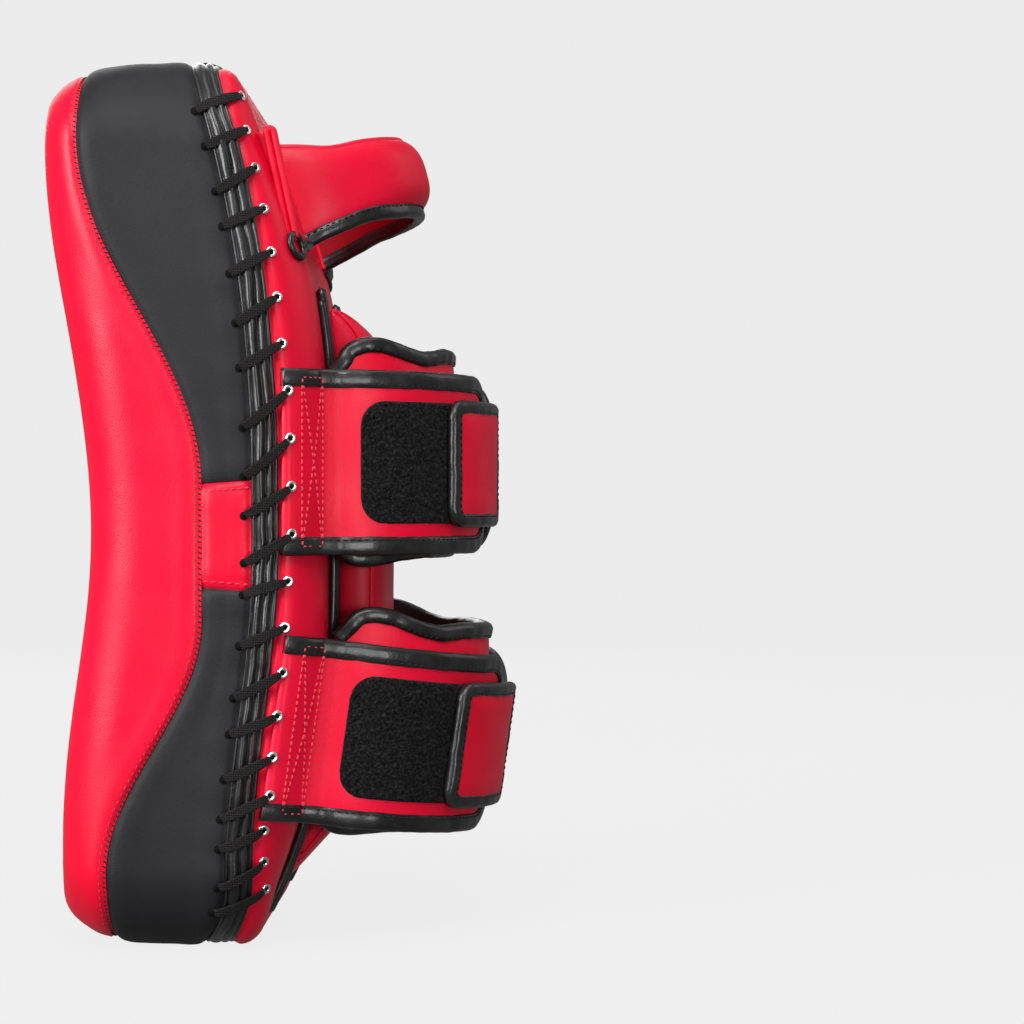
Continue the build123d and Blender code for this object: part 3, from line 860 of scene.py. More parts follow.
def flutes(grid):
    """Height of the gathered lacing gusset: long soft folds that wander, swell and part along its length."""
    across = np.linspace(0, 1, LACING_ROWS)[None, :]
    middle = grid[:, LACING_ROWS // 2]
    wander = 0.07 * ripple(middle, 46.0, 7) + 0.03 * ripple(middle, 15.0, 8)
    place = np.clip(across + wander[:, None] * np.sin(np.pi * across), 0, 1)
    height = np.zeros(grid.shape[:2])
    for k, (start, end, rise) in enumerate(FLUTES):
        t = np.clip((place - start) / (end - start), 0, 1)
        broad, narrow = ripple(middle, 30.0, 90 + k)[:, None], ripple(middle, 10.0, 95 + k)[:, None]
        swelling = 1 + 0.25 * broad + 0.10 * narrow
        fold = np.where((t > 0) & (t < 1), GROOVE_FLOOR + (1 - GROOVE_FLOOR) * np.sin(np.pi * t) ** 0.75, 0.0)
        height = np.maximum(height, rise * swelling * fold)
    creases = 0.22 * ripple(grid * [1.0, 1.0, 0.5], 6.0, 9) + 0.10 * ripple(grid, 3.4, 10)
    ends = np.clip(1 - np.abs(middle[:, 0]) / 60.0, 0, 1)[:, None]
    at_end = np.clip((np.abs(middle[:, 2] - LENGTH / 2) - 160.0) / 30.0, 0, 1)[:, None]
    on_floor = np.clip(1 - middle[:, 2] / 12.0, 0, 1)[:, None]
    height = height * (1 - 0.35 * np.maximum(at_end, ends) - 0.4 * on_floor)
    return height - 1.3 + creases * np.sin(np.pi * across)


def build_block():
    """The block's skins, each closed, sunk at its seams and puckered at the lace."""
    points, zones = block_surface()
    normals = {key: ring_normals(grid) for key, grid in zones.items()}
    normals["face"][:, 0] = spine_normals(face_y, zones["face"][:, 0, 2], -1.0)
    normals["back"][:, -1] = spine_normals(back_y, zones["back"][:, -1, 2], 1.0)
    flare = np.linspace(0, 1, SIDE_ROWS)[None, :] * PATCH_FLARE
    for edge, sign in ((PATCH_HIGH, 1), (PATCH_LOW, -1)):
        at = np.exp(-(((points[:, 1] - edge) / 16.0) ** 2))[:, None]
        zones["side"][..., 2] += sign * flare * at
    face, side, lacing, back = zones.values()
    from_wave, from_lacing = edge_distance(face, False, True), edge_distance(back, True, False)
    near_wave = 0.25 * ripple(face, 28.0, 4) * np.exp(-from_wave / 18.0)
    side_pull = pull(side[..., 2] + HOLE_DROP, edge_distance(side, False, True))
    back_pull = pull(back[..., 2], from_lacing, 5.0, 0.4)
    shifts = {
        "face": seam_dip(from_wave) + 0.5 * ripple(face, 75.0, 3) + near_wave,
        "side": seam_dip(edge_distance(side, True, True)) + side_pull + 0.35 * ripple(side, 60.0, 5),
        "lacing": flutes(lacing),
        "back": seam_dip(from_lacing) + back_pull + 0.4 * ripple(back, 60.0, 6),
    }
    pieces = {key: zones[key] + normals[key] * shift[..., None] for key, shift in shifts.items()}

    count = len(points)
    low_edge, high_edge = PATCH_LOW + 1e-6, PATCH_HIGH + 1e-6
    upper_end = next(i for i in range(PATCH_PLACES, count) if points[i][0] < 0 and points[i][1] <= high_edge)
    lower_start = next(i for i in range(upper_end, count) if points[i][1] <= low_edge)
    panels = {
        "near_side_patch": (range(0, PATCH_PLACES + 1), RED),
        "upper_side_gusset": (range(PATCH_PLACES, upper_end + 1), BLACK),
        "far_side_patch": (range(upper_end, lower_start + 1), RED),
        "lower_side_gusset": ([*range(lower_start, count), 0], BLACK),
    }
    face = skin("striking_cover_skin", pieces["face"], normals["face"], 2.0, RED, True, (-1,))
    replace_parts(face, "striking_cover", "striking_foam", "core_foam", "back_foam")
    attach(face, "root")
    back = skin("back_cover_skin", pieces["back"], normals["back"], 2.0, RED, True, (0,))
    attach(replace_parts(back, "back_cover"), "root")
    lacing = skin("lacing_gusset_skin", pieces["lacing"], normals["lacing"], 1.2, GLOSS, True)
    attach(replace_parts(lacing, "lacing_gusset"), "root")
    for name, (places, look) in panels.items():
        rows = list(places)
        grid, normal = pieces["side"][rows].copy(), normals["side"][rows]
        nearer_edge = np.where(grid[:, :, 2] > (PATCH_LOW + PATCH_HIGH) / 2, PATCH_HIGH, PATCH_LOW)
        cut = np.minimum(np.abs(grid[:, :, 2] - nearer_edge), 40.0)
        at_side = np.abs(grid[:, :, 0]) > 90
        grid += normal * np.where(at_side, seam_dip(cut, 1.1, 1.6, 0.35), 0.0)[..., None]
        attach(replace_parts(skin(name + "_skin", grid, normal, 2.0, look), name), "root")
    return pieces, normals


def seam_row(name, grid, normals, offset, gauge, look, tilt):
    """A closed row of stitches on a zone, at a constant distance from the seam at its end."""
    path = np.array([resample(column, [along(column)[-1] - offset])[0] for column in grid])
    path = np.vstack([path, path[:1]])
    up = np.vstack([normals[:, -2], normals[:1, -2]])
    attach(stitches(name, path, up, gauge, look, tilt, 0.05), "root")


PATCH_GAUGE = (3.0, 2.2, 0.6)


def block_stitching(pieces, normals):
    """Stitch rows along the wave seam and at the ends of the side patches."""
    face, side = pieces["face"], pieces["side"]
    seam_row("wave_seam_whip", face, normals["face"], 1.1, (2.3, 2.3, 0.55), WHIP_THREAD, 62.0)
    seam_row("wave_seam_stitches", face, normals["face"], 2.9, (3.4, 2.3, 0.5), FACE_THREAD, 10.0)
    for place, inward, tag in ((0, 1, "low"), (PATCH_PLACES, -1, "high")):
        for mirror_x, end in ((1, "near"), (-1, "far")):
            mirror = np.array([mirror_x, 1, 1])
            line = side[place, 3:-3] * mirror
            line[:, 2] += inward * 3.0
            up = normals["side"][place, 3:-3] * mirror
            row = stitches(f"patch_stitches_{tag}_{end}", line, up, PATCH_GAUGE, RED_THREAD, 0.0, 0.25)
            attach(row, "root")


# How far an eyelet is above its hole: more above the upper strap, less at the side patch's foot
RISE = 9.5
RISE_STEEPER = 6.5
RISE_STEEP_AT = 228.0
RISE_FLATTER = 3.5
RISE_FLAT_AT = 160.0


def lace_places():
    """For each crossing on the near side: the hole's and the eyelet's heights."""
    for i in range(LACE_COUNT):
        place = 2 * i / (LACE_COUNT - 1) - 1
        z = LACE_MIDDLE + LACE_SPREAD * ((1 + LACE_CROWDING) * place - LACE_CROWDING * place**3)
        z -= LACE_SAG * (1 - place**2)
        rise = RISE + RISE_STEEPER * math.exp(-(((z - RISE_STEEP_AT) / 40.0) ** 2))
        rise -= RISE_FLATTER * math.exp(-(((z - RISE_FLAT_AT) / 16.0) ** 2))
        yield z - rise - 1.6 * math.sin(i * 2.3), z


EYELET_RADIUS = 1.75
EYELET_WIRE = 0.75
EYELET_HEIGHT = 0.7


def surface_tree(*objects):
    """A lookup of the outer surface of several meshes, in millimetres."""
    bm = bmesh.new()
    for obj in objects:
        bm.from_mesh(obj.data)
    tree = BVHTree.FromBMesh(bm)
    bm.free()
    return tree


def drop_on(tree, point, direction):
    """Where a line into the surface first meets it, with the surface's normal."""
    start = Vector(point) * MM - Vector(direction) * (40 * MM)
    hit, normal, _, _ = tree.ray_cast(start, Vector(direction))
    if hit is None:
        hit, normal, _, _ = tree.find_nearest(Vector(point) * MM)
    if normal.dot(Vector(direction)) > 0:
        normal = -normal
    return np.array(hit) / MM, np.array(normal)


def axes(normal):
    """A surface normal and two directions square to it."""
    n = Vector(normal).normalized()
    a = n.orthogonal().normalized()
    return n, a, n.cross(a)


def eyelet_ring(name, place, normal):
    """An eyelet's flanged rim, on the leather at a place."""
    n, a, b = axes(normal)
    centre = Vector(place + normal * 0.4)
    sides, turns = 28, 10
    sections = []
    for i in range(sides):
        t = 2 * math.pi * i / sides
        out = a * math.cos(t) + b * math.sin(t)
        loop = []
        for j in range(turns):
            p = 2 * math.pi * j / turns
            reach = EYELET_RADIUS + EYELET_WIRE * math.cos(p)
            loop.append(list(centre + out * reach + n * (EYELET_WIRE * EYELET_HEIGHT * math.sin(p))))
        sections.append(loop)
    return tube(name, sections, SILVER, True)


def hole_cup(name, centre, normal, radius):
    """A small shallow cup whose near-black colour is painted shade at the bottom of a hole."""
    n, a, b = axes(normal)
    sections = []
    for depth, share in ((0.1, 1.0), (-0.6, 0.9), (-0.9, 0.4), (-0.9, 0.02)):
        loop = []
        for j in range(20):
            p = 2 * math.pi * j / 20
            out = a * math.cos(p) + b * math.sin(p)
            loop.append(list(Vector(centre) + out * radius * share + n * depth))
        sections.append(loop)
    return tube(name, sections, HOLE)


def lace_ribbon(name, path, up):
    """A flat lace along a path, slightly cupped, with softly rounded edges and pinched ends."""
    _, side, normal = frames_along(path, up)
    sections = []
    for i in range(len(path)):
        share = i / (len(path) - 1)
        pinch = 1.0 - 0.42 * math.exp(-share * 7.0) - 0.55 * math.exp(-(1 - share) * 5.0)
        half = LACE_WIDTH / 2 * pinch
        loop = []
        for k in range(28):
            a = 2 * math.pi * k / 28
            c, s = math.cos(a), math.sin(a)
            x = math.copysign(abs(c) ** 0.4, c) * half
            h = math.copysign(abs(s) ** 0.45, s) * LACE_THICK / 2 + 0.07 * math.cos(x / half * 3 * math.pi)
            loop.append(path[i] + side[i] * x + normal[i] * h)
        sections.append(loop)
    return tube(name, sections, LACE)


def crossing(name, ends, steps, lift, bow, power, dive):
    """A lace from a hole to an eyelet: it bows off the gusset and dives in at both ends."""
    (p, pn), (q, qn) = ends
    t = np.linspace(0, 1, steps)[:, None]
    up = unit(pn + (qn - pn) * t)
    off = lift + bow * np.sin(np.pi * t) ** power - dive * (np.exp(-t * 14.0) + np.exp(-(1 - t) * 14.0))
    return lace_ribbon(name, p + (q - p) * t + up * off, up)


def onto_side(tree, mirror_x, z, y):
    """The place on the block's side wall, or on the round behind it, at a height and a depth."""
    wall = back_y(z) - BACK_ROUND_SIDE
    lean = math.asin(min(0.95, max(0.0, (y - wall) / BACK_ROUND_SIDE)))
    x = half_width(z) - BACK_ROUND_SIDE * (1 - math.cos(lean)) if y > wall else half_width(z)
    direction = (-mirror_x * math.cos(lean), -math.sin(lean), 0.0)
    return drop_on(tree, (mirror_x * float(x), float(y), z), direction)


def build_lacing(tree):
    """Eyelets, punched holes and flat lace crossings down both sides."""
    eyelets, holes, laces = [], [], {1: [], -1: []}
    for mirror_x, end in ((1, "near"), (-1, "far")):
        for low, high in lace_places():
            p, pn = onto_side(tree, mirror_x, low, lacing_y(low) - 9.0)
            q, qn = onto_side(tree, mirror_x, high, lacing_y(high) + 9.6)
            tag = f"{end}_{len(eyelets)}"
            eyelets.append(eyelet_ring("eyelet_" + tag, q, qn))
            holes.append(hole_cup("bore_" + tag, q + qn * 0.5, qn, 1.5))
            holes.append(hole_cup("hole_" + tag, p + pn * 0.3, pn, 1.9))
            laces[mirror_x].append(crossing("cross_" + tag, ((p, pn), (q, qn)), 13, 1.5, 2.3, 0.7, 2.6))
    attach(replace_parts(join("eyelet_rings", eyelets), "eyelets"), "root")
    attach(join("lace_holes", holes), "root")
    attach(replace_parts(join("near_lace_run", laces[1]), "near_lace"), "root")
    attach(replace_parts(join("far_lace_run", laces[-1]), "far_lace"), "root")


TOP_LACES = 7
TOP_LACE_PITCH = 15.5
TOP_LACE_LEAN = 4.0


def build_end_lace(tree):
    """The crossings over the top end of the pad."""
    middle = float(lacing_y(LENGTH))
    laces, eyelets = [], []
    for i in range(TOP_LACES):
        x = (i - (TOP_LACES - 1) / 2) * TOP_LACE_PITCH
        front = drop_on(tree, (x - TOP_LACE_LEAN, middle - 9.0, LENGTH), (0, 0, -1))
        rear = drop_on(tree, (x + TOP_LACE_LEAN, middle + 9.5, LENGTH), (0, -0.75, -0.66))
        laces.append(crossing(f"end_lace_{i}", (front, rear), 11, 1.4, 2.4, 1.0, 2.2))
        eyelets.append(eyelet_ring(f"end_eyelet_{i}", *rear))
    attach(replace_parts(join("top_lace_run", laces), "top_lace"), "root")
    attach(join("top_eyelets", eyelets), "root")


# ---------------------------------------------------------------- ribbons on the back


RIBBON_INSIDE = (0.0, 10.0)


class Ribbon:
    """A plan-view line that a band follows: points by distance along, height and offset from it."""

    def __init__(self, plan, place):
        self.plan = np.asarray(plan, float)
        self.s = along(self.plan)
        self.length = self.s[-1]
        self.place = place
        tangent = unit(np.gradient(self.plan, axis=0))
        self.normal = np.stack([tangent[:, 1], -tangent[:, 0]], axis=1)
        middle = len(self.plan) // 2
        if np.dot(self.normal[middle], self.plan[middle] - np.array(RIBBON_INSIDE)) < 0:
            self.normal = -self.normal

    def at(self, s, h, off):
        """Points in the pad's frame. The line runs on straight past its far end."""
        s, h, off = np.broadcast_arrays(np.asarray(s, float), np.asarray(h, float), np.asarray(off, float))
        x, y = (np.interp(s, self.s, self.plan[:, k]) for k in range(2))
        nx, ny = (np.interp(s, self.s, self.normal[:, k]) for k in range(2))
        size = np.maximum(np.hypot(nx, ny), 1e-9)
        beyond = np.maximum(s - self.length, 0.0)
        last = unit(self.plan[-1] - self.plan[-2])
        points = [x + nx / size * off + last[0] * beyond, y + ny / size * off + last[1] * beyond, h * 1.0]
        rotation = np.array(self.place.to_3x3())
        return np.stack(points, axis=-1) @ rotation.T + np.array(self.place.translation)

    def up(self, s, h=0.0):
        return unit(self.at(s, h, 1.0) - self.at(s, h, 0.0))

    def along_x(self, x):
        """Distance along at which the plan line reaches a given x."""
        order = np.argsort(self.plan[:, 0])
        return float(np.interp(x, self.plan[order, 0], self.s[order]))


def level_place(height, tilt):
    """The closure level's own frame, square to the back cover."""
    turn = Matrix.Rotation(math.radians(-tilt), 4, "X")
    return Matrix.Translation((0, float(back_y(height)), height)) @ turn


def ellipse(cx, rx, ry, start, end, count=60):
    angle = np.radians(np.linspace(start, end, count))
    return np.stack([cx + rx * np.cos(angle), ry * np.sin(angle)], axis=1)


def smooth_plan(points, step=1.5):
    points = soften(np.asarray(points, float))
    length = along(points)[-1]
    return resample(points, np.linspace(0, length, max(8, int(length / step))))


def band_half(s, length, half, corner):
    """A band's half-height at s, with rounded corners at its free end."""
    into = np.clip((np.asarray(s) - (length - corner)) / corner, 0, 1)
    return half - corner + corner * np.sqrt(np.maximum(0.0, 1 - into**2))


def end_crowded(start, end, count):
    """Places along a band, closer together towards its rounded end."""
    t = np.linspace(0, 1, count)
    return start + (end - start) * np.sin(t * np.pi / 2) ** 0.9


def band_panel(name, ribbon, start, end, half, corner, seed, puff=0.5):
    """A flat strap panel with rounded corners, gentle waves and slightly sunk edges."""
    across = np.linspace(-1, 1, 33)
    edge = 1 - np.abs(across)
    outside = STRAP_THICK / 2 + (puff * np.clip(edge * 6, 0, 1) ** 0.5 - puff * 0.5)
    sections = []
    for s in end_crowded(start, end - 0.02, 90):
        h = across * float(band_half(s, end, half, corner))
        wave = 0.35 * ripple(ribbon.at(s, h, outside), 30.0, seed) * np.clip(edge * 4, 0, 1)
        outer = ribbon.at(s, h, outside + wave)
        inner = ribbon.at(s, h[::-1], -STRAP_THICK / 2 + wave[::-1] * 0.5)
        sections.append(np.vstack([outer, inner]))
    return tube(name, sections, RED)


def edge_line(start, end, half, corner, count=26):
    """The strap's edge in its own (s, h) plane, with the direction that points inwards."""
    straight = np.linspace(start, end - corner, 60)
    flat = np.linspace(half - corner, corner - half, 24)[1:]
    angles = np.linspace(np.pi / 2, 0, count)
    line = [(s, half) for s in straight]
    inward = [(0.0, -1.0)] * len(straight)
    for a in angles[1:]:
        line.append((end - corner + corner * math.cos(a), half - corner + corner * math.sin(a)))
        inward.append((-math.cos(a), -math.sin(a)))
    line += [(end, h) for h in flat]
    inward += [(-1.0, 0.0)] * len(flat)
    for a in angles[::-1][1:]:
        line.append((end - corner + corner * math.cos(a), -(half - corner) - corner * math.sin(a)))
        inward.append((-math.cos(a), math.sin(a)))
    line += [(s, -half) for s in straight[::-1][1:]]
    inward += [(0.0, 1.0)] * (len(straight) - 1)
    return np.array(line), np.array(inward)


def binding_loop(width, thick):
    """Cross-section of folded edge binding: how far in from the edge, and how far off the band."""
    t = thick / 2
    outer = [(width, t * 0.82), (width - 0.4, t)]
    outer += [(width * 0.6, t * 1.08), (width * 0.25, t * 1.10), (0.2, t * 0.85)]
    nose = [(-0.45, t * 0.35), (-0.55, 0.0), (-0.45, -t * 0.35)]
    return np.array(outer + nose + [(a, -b) for a, b in reversed(outer)])


def bind_edge(name, ribbon, line, inward, width, thick, seed, wrinkle=0.28, closed=False):
    """Binding folded over a band's edge, with small creases across it."""
    loop = binding_loop(width, thick)
    phase = np.random.default_rng(seed).uniform(0, 6.28, 3)
    sections = []
    for (s, h), (a, b), d in zip(line, inward, along(line)):
        short = 0.6 * math.sin(d / 1.9 + phase[0]) * math.sin(d / 7.3 + phase[1])
        crease = wrinkle * (short + 0.4 * math.sin(d / 4.1 + phase[2]))
        depth = loop[:, 0] + crease * 0.5
        sections.append(ribbon.at(s + depth * a, h + depth * b, loop[:, 1] * (1 + crease * 0.35)))
    return tube(name, sections, GLOSS, closed)


def edge_stitches(name, ribbon, line, inward, depth, off, gauge):
    """A stitch row just inside a binding."""
    s, h = (line + inward * depth).T
    return stitches(name, ribbon.at(s, h, off), ribbon.up(s, h), gauge, BLACK_THREAD)


def dense(line, inward, step=1.0):
    """An edge line with its points evenly and closely spaced."""
    run = along(line)
    places = np.linspace(0, run[-1], int(run[-1] / step))
    turned = np.stack([np.interp(places, run, inward[:, k]) for k in range(2)], axis=1)
    return resample(line, places), unit(turned)


BOX_START = 9.5
BOX_WIDTH = 12.0
BOX_HALF = 36.5
BOX_GAUGE = (2.9, 2.3, 0.75)


def box_x(name, ribbon):
    """Box-X stitching through a strap's sewn root: a rectangle with both diagonals."""
    s0, s1, h0, h1 = BOX_START, BOX_START + BOX_WIDTH, -BOX_HALF, BOX_HALF
    a, b, c, d = (s0, h0), (s1, h0), (s1, h1), (s0, h1)
    t = np.linspace(0, 1, 30)[:, None]
    made = []
    for i, (first, last) in enumerate(((a, b), (b, c), (c, d), (d, a), (a, c), (d, b))):
        s, h = (np.array(first) + (np.array(last) - np.array(first)) * t).T
        path = ribbon.at(s, h, STRAP_THICK / 2 + 0.75)
        made.append(stitches(f"{name}_{i}", path, ribbon.up(s, h), BOX_GAUGE, RED_THREAD))
    return join(name, made)


ROOT_START = 19.0


class Closure:
    """One closure level's measures, and the ribbons its pieces follow."""

    def __init__(self, name, height, tilt, cuff_rise, near_rise, far_rise, pile_start):
        self.name = name
        self.place = level_place(height, tilt)
        self.half = float(half_width(height))
        self.cuff_rise = cuff_rise
        self.near_rise = near_rise
        self.far_rise = far_rise
        self.arch = self.half - ARCH_INSET
        self.pile_start = pile_start
        self.near = Ribbon(self.near_plan(), self.place)
        self.far = Ribbon(self.far_plan(), self.place)
        self.tab = Ribbon(self.tab_plan(), self.place)

    def root_arc(self, start=ROOT_START):
        """The sewn end lies on the round between side wall and back."""
        radius = BACK_ROUND_SIDE + 0.6 + STRAP_THICK / 2
        angle = np.radians(np.linspace(start, 57.0, 12))
        return np.stack([self.half - BACK_ROUND_SIDE + radius * np.cos(angle),
                         -BACK_ROUND_SIDE + radius * np.sin(angle)], axis=1)

    def near_plan(self):
        free = ellipse(0, self.arch, self.near_rise, 5.0, 90.0)
        free = free[free[:, 0] > NEAR_END]
        return smooth_plan(np.vstack([self.root_arc(), free]))

    def far_plan(self):
        root = self.root_arc() * [-1, 1]
        free = ellipse(ARCH_SHIFT, self.arch + ARCH_SHIFT, self.far_rise, 175.0, 90.0)
        free = free[free[:, 0] < FOLD_X - 2.5]
        return smooth_plan(np.vstack([root, free]))

    def tab_plan(self):
        line = ellipse(ARCH_SHIFT, self.arch + ARCH_SHIFT, self.far_rise, 112.0, 40.0, 90)
        line = line[line[:, 0] < TAB_END]
        out = unit(line - np.array([ARCH_SHIFT, 0.0]))
        over = 2.7 * swell((-4.0 - line[:, 0]) / 9.0)
        return smooth_plan(line + out * over[:, None])

    def world(self, x, y, z=0.0):
        return tuple(np.array(self.place @ Vector((x, y, z))) * MM)


STRAP_EDGE = 4.4
HINGE_INSET = 14.0


def build_strap(c, end, ribbon, side, corner, seed):
    """A strap from its sewn root to its free end, bound and stitched. The near one carries the loop pile."""
    start, length, strap = 1.0, ribbon.length, f"{c.name}_{end}_strap"
    line, inward = dense(*edge_line(start, length, STRAP_HALF, corner))
    panel = band_panel(strap + "_panel", ribbon, start, length - 1.0, STRAP_HALF - 1.0, corner - 1.0, seed)
    binding = bind_edge(strap + "_edge", ribbon, line, inward, BINDING_WIDTH, STRAP_EDGE, seed + 1)
    row_name = f"{c.name}_{end}_edge_stitches"
    stitch = edge_stitches(row_name, ribbon, line, inward, BINDING_WIDTH - 1.4, 2.5, (3.2, 2.3, 0.55))
    if end == "near":
        pile = pile_patch(f"{c.name}_loop_pile", ribbon, c.pile_start, length - 10.0)
    flap = f"{c.name}_{end}_flap"
    hinge_x = side * (c.half - HINGE_INSET)
    for piece in (panel, binding, stitch):
        c.world(hinge_x, -4.0)
        c.world(hinge_x, 9.0)
        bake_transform(piece)
    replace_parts(panel, strap, strap + "_root")
    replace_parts(binding, strap + "_binding")
    if end == "near":
        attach(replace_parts(pile, f"{c.name}_loop_patch"), flap)
    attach(box_x(f"{c.name}_{end}_box_x", ribbon), "root")


def pile_patch(name, ribbon, start, end):
    """A fuzzy loop patch: rounded at its first end, with a ragged, tufted surface."""
    places = np.linspace(start, end, 150)
    across = np.linspace(-1, 1, 110)
    off = STRAP_THICK / 2 + 0.3
    tufts = np.random.default_rng(31).normal(size=(len(places), len(across)))
    tufts = (tufts + np.roll(tufts, 1, 0) + np.roll(tufts, 1, 1) + np.roll(tufts, (1, 1), (0, 1))) / 4
    sections = []
    for row, s in enumerate(places):
        into = np.clip((start + PATCH_CORNER - s) / PATCH_CORNER, 0, 1)
        reach = PATCH_HALF - PATCH_CORNER
        if into < 1:
            reach = reach + PATCH_CORNER * math.sqrt(max(0.0, 1 - into**2))
        h = across * reach
        edge = np.minimum(1 - np.abs(across), 1.0) * reach
        depth = np.clip(np.minimum(edge, s - start + 0.4) / 1.2, 0, 1) ** 0.5
        tuft = 0.42 * tufts[row] + 0.12 * ripple(ribbon.at(s, h, off), 9.0, 32)
        outer = ribbon.at(s, h, off + 1.1 * depth + tuft * depth)
        sections.append(np.vstack([outer, ribbon.at(s, h[::-1], off - 0.2)]))
    return tube(name, sections, PILE)


def rounded_loop(start, end, half, corner):
    """The edge of a rounded rectangle in (s, h), closed, with the direction that points inwards."""
    centres = ((end - corner, half - corner, 0), (start + corner, half - corner, 90),
               (start + corner, corner - half, 180), (end - corner, corner - half, 270))
    line, inward = [], []
    for cx, cy, first in centres:
        for angle in np.radians(np.linspace(first, first + 90, 14)):
            line.append((cx + corner * math.cos(angle), cy + corner * math.sin(angle)))
            inward.append((-math.cos(angle), -math.sin(angle)))
    line.append(line[0])
    inward.append(inward[0])
    line, inward = dense(np.array(line), np.array(inward))
    return line[:-1], inward[:-1]


TAB_THICK = 2.2
TAB_PUFF = 1.6


def tab_panel(name, ribbon, start, end, half, corner):
    """The closure tab's stuffed rounded rectangle of leather."""
    turn = np.linspace(0, np.pi, 60)
    across = np.linspace(-1, 1, 33)
    sections = []
    for s in (start + end) / 2 - (end - start) / 2 * 0.998 * np.cos(turn):
        into = max(0.0, corner - min(s - start, end - s)) / corner
        reach = half - corner + corner * math.sqrt(max(0.0, 1 - into**2))
        h = across * reach
        inside = np.minimum(np.minimum(s - start, end - s), (1 - np.abs(across)) * reach)
        outside = TAB_THICK / 2 + TAB_PUFF * np.clip(inside / 9.0, 0, 1) ** 0.6
        wave = 0.3 * ripple(ribbon.at(s, h, outside), 22.0, 41) * np.clip(inside / 6.0, 0, 1)
        sections.append(np.vstack([ribbon.at(s, h, outside + wave), ribbon.at(s, h[::-1], -TAB_THICK / 2)]))
    return tube(name, sections, RED)


TAB_START_X = 4.5
HINGE_START_X = -30.0
HINGE_END_X = 22.0


def build_tab(c):
    """The closure tab: a bound, stuffed flap on a folded strip, pressed on the near strap's pile."""
    ribbon = c.tab
    first, last = ribbon.along_x(TAB_START_X), ribbon.length - 0.6
    line, inward = rounded_loop(first, last, TAB_HALF, TAB_CORNER)
    tab = f"{c.name}_tab"
    panel = tab_panel(tab + "_panel", ribbon, first + 1.0, last - 1.0, TAB_HALF - 1.0, TAB_CORNER - 1.0)
    binding = bind_edge(tab + "_edge", ribbon, line, inward, TAB_BINDING, 4.8, 42, closed=True)
    stitch = edge_stitches(tab + "_stitches", ribbon, line, inward, TAB_BINDING - 1.1, 2.7, (3.0, 2.1, 0.5))
    sections = []
    h = np.linspace(-TAB_HALF + 7.0, TAB_HALF - 7.0, 30)
    for s in np.linspace(first + 4.0, last - 4.0, 40):
        rough = 0.12 * ripple(ribbon.at(s, h, -1.5), 1.6, 44)
        sections.append(np.vstack([ribbon.at(s, h, -1.0), ribbon.at(s, h[::-1], -2.3 + rough[::-1])]))
    hooks = tube(f"{c.name}_hooks", sections, HOOKS)
    far, flap = f"{c.name}_far_flap", f"{c.name}_tab_flap"
    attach(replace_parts(panel, f"{c.name}_closure_tab"), flap)
    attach(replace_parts(binding, f"{c.name}_tab_binding"), flap)
    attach(stitch, flap)
    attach(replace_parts(hooks, f"{c.name}_hook_patch"), flap)
    sections = []
    h = np.linspace(-TAB_HALF + 2.5, TAB_HALF - 2.5, 24)
    for s in np.linspace(ribbon.along_x(HINGE_START_X), ribbon.along_x(HINGE_END_X), 60):
        sections.append(np.vstack([ribbon.at(s, h, 0.5), ribbon.at(s, h[::-1], -0.6)]))
    fold = tube(f"{c.name}_tab_fold", sections, BLACK)
    c.world(FOLD_X - 5.0, c.far_rise)
    c.world(FOLD_X + 5.0, c.far_rise)
    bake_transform(fold)
    rows = []
    h = np.linspace(-TAB_HALF + 4.0, TAB_HALF - 4.0, 40)
    for x in (HINGE_START_X + 3.0, HINGE_START_X + 9.0):
        s = np.full(40, ribbon.along_x(x))
        path = ribbon.at(s, h, 0.55)
        rows.append(stitches(f"fold_row_{x:.0f}", path, ribbon.up(s), PATCH_GAUGE, RED_THREAD))
    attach(join(f"{c.name}_tab_fold_stitches", rows), far)


# A cuff's edge, by distance from its sewn end: the rounded shoulder, its crest and the dip before the middle
CUFF_TOP = (
    (0.0, 1.5, 4.0, 8.0, 13.0, 20.0, 28.0, 38.0, 48.0, 58.0, 70.0),
    (33.0, 40.0, 45.5, 50.0, 52.6, 53.6, 52.6, 49.6, 48.0, 48.8, 50.6),
)
CUFF_LOW = (
    (0.0, 2.0, 5.0, 10.0, 16.0, 24.0, 34.0, 46.0, 60.0),
    (32.0, 37.0, 40.0, 42.4, 43.4, 42.6, 40.6, 39.6, 39.5),
)


RIM_GAUGE = (3.1, 2.2, 0.55)


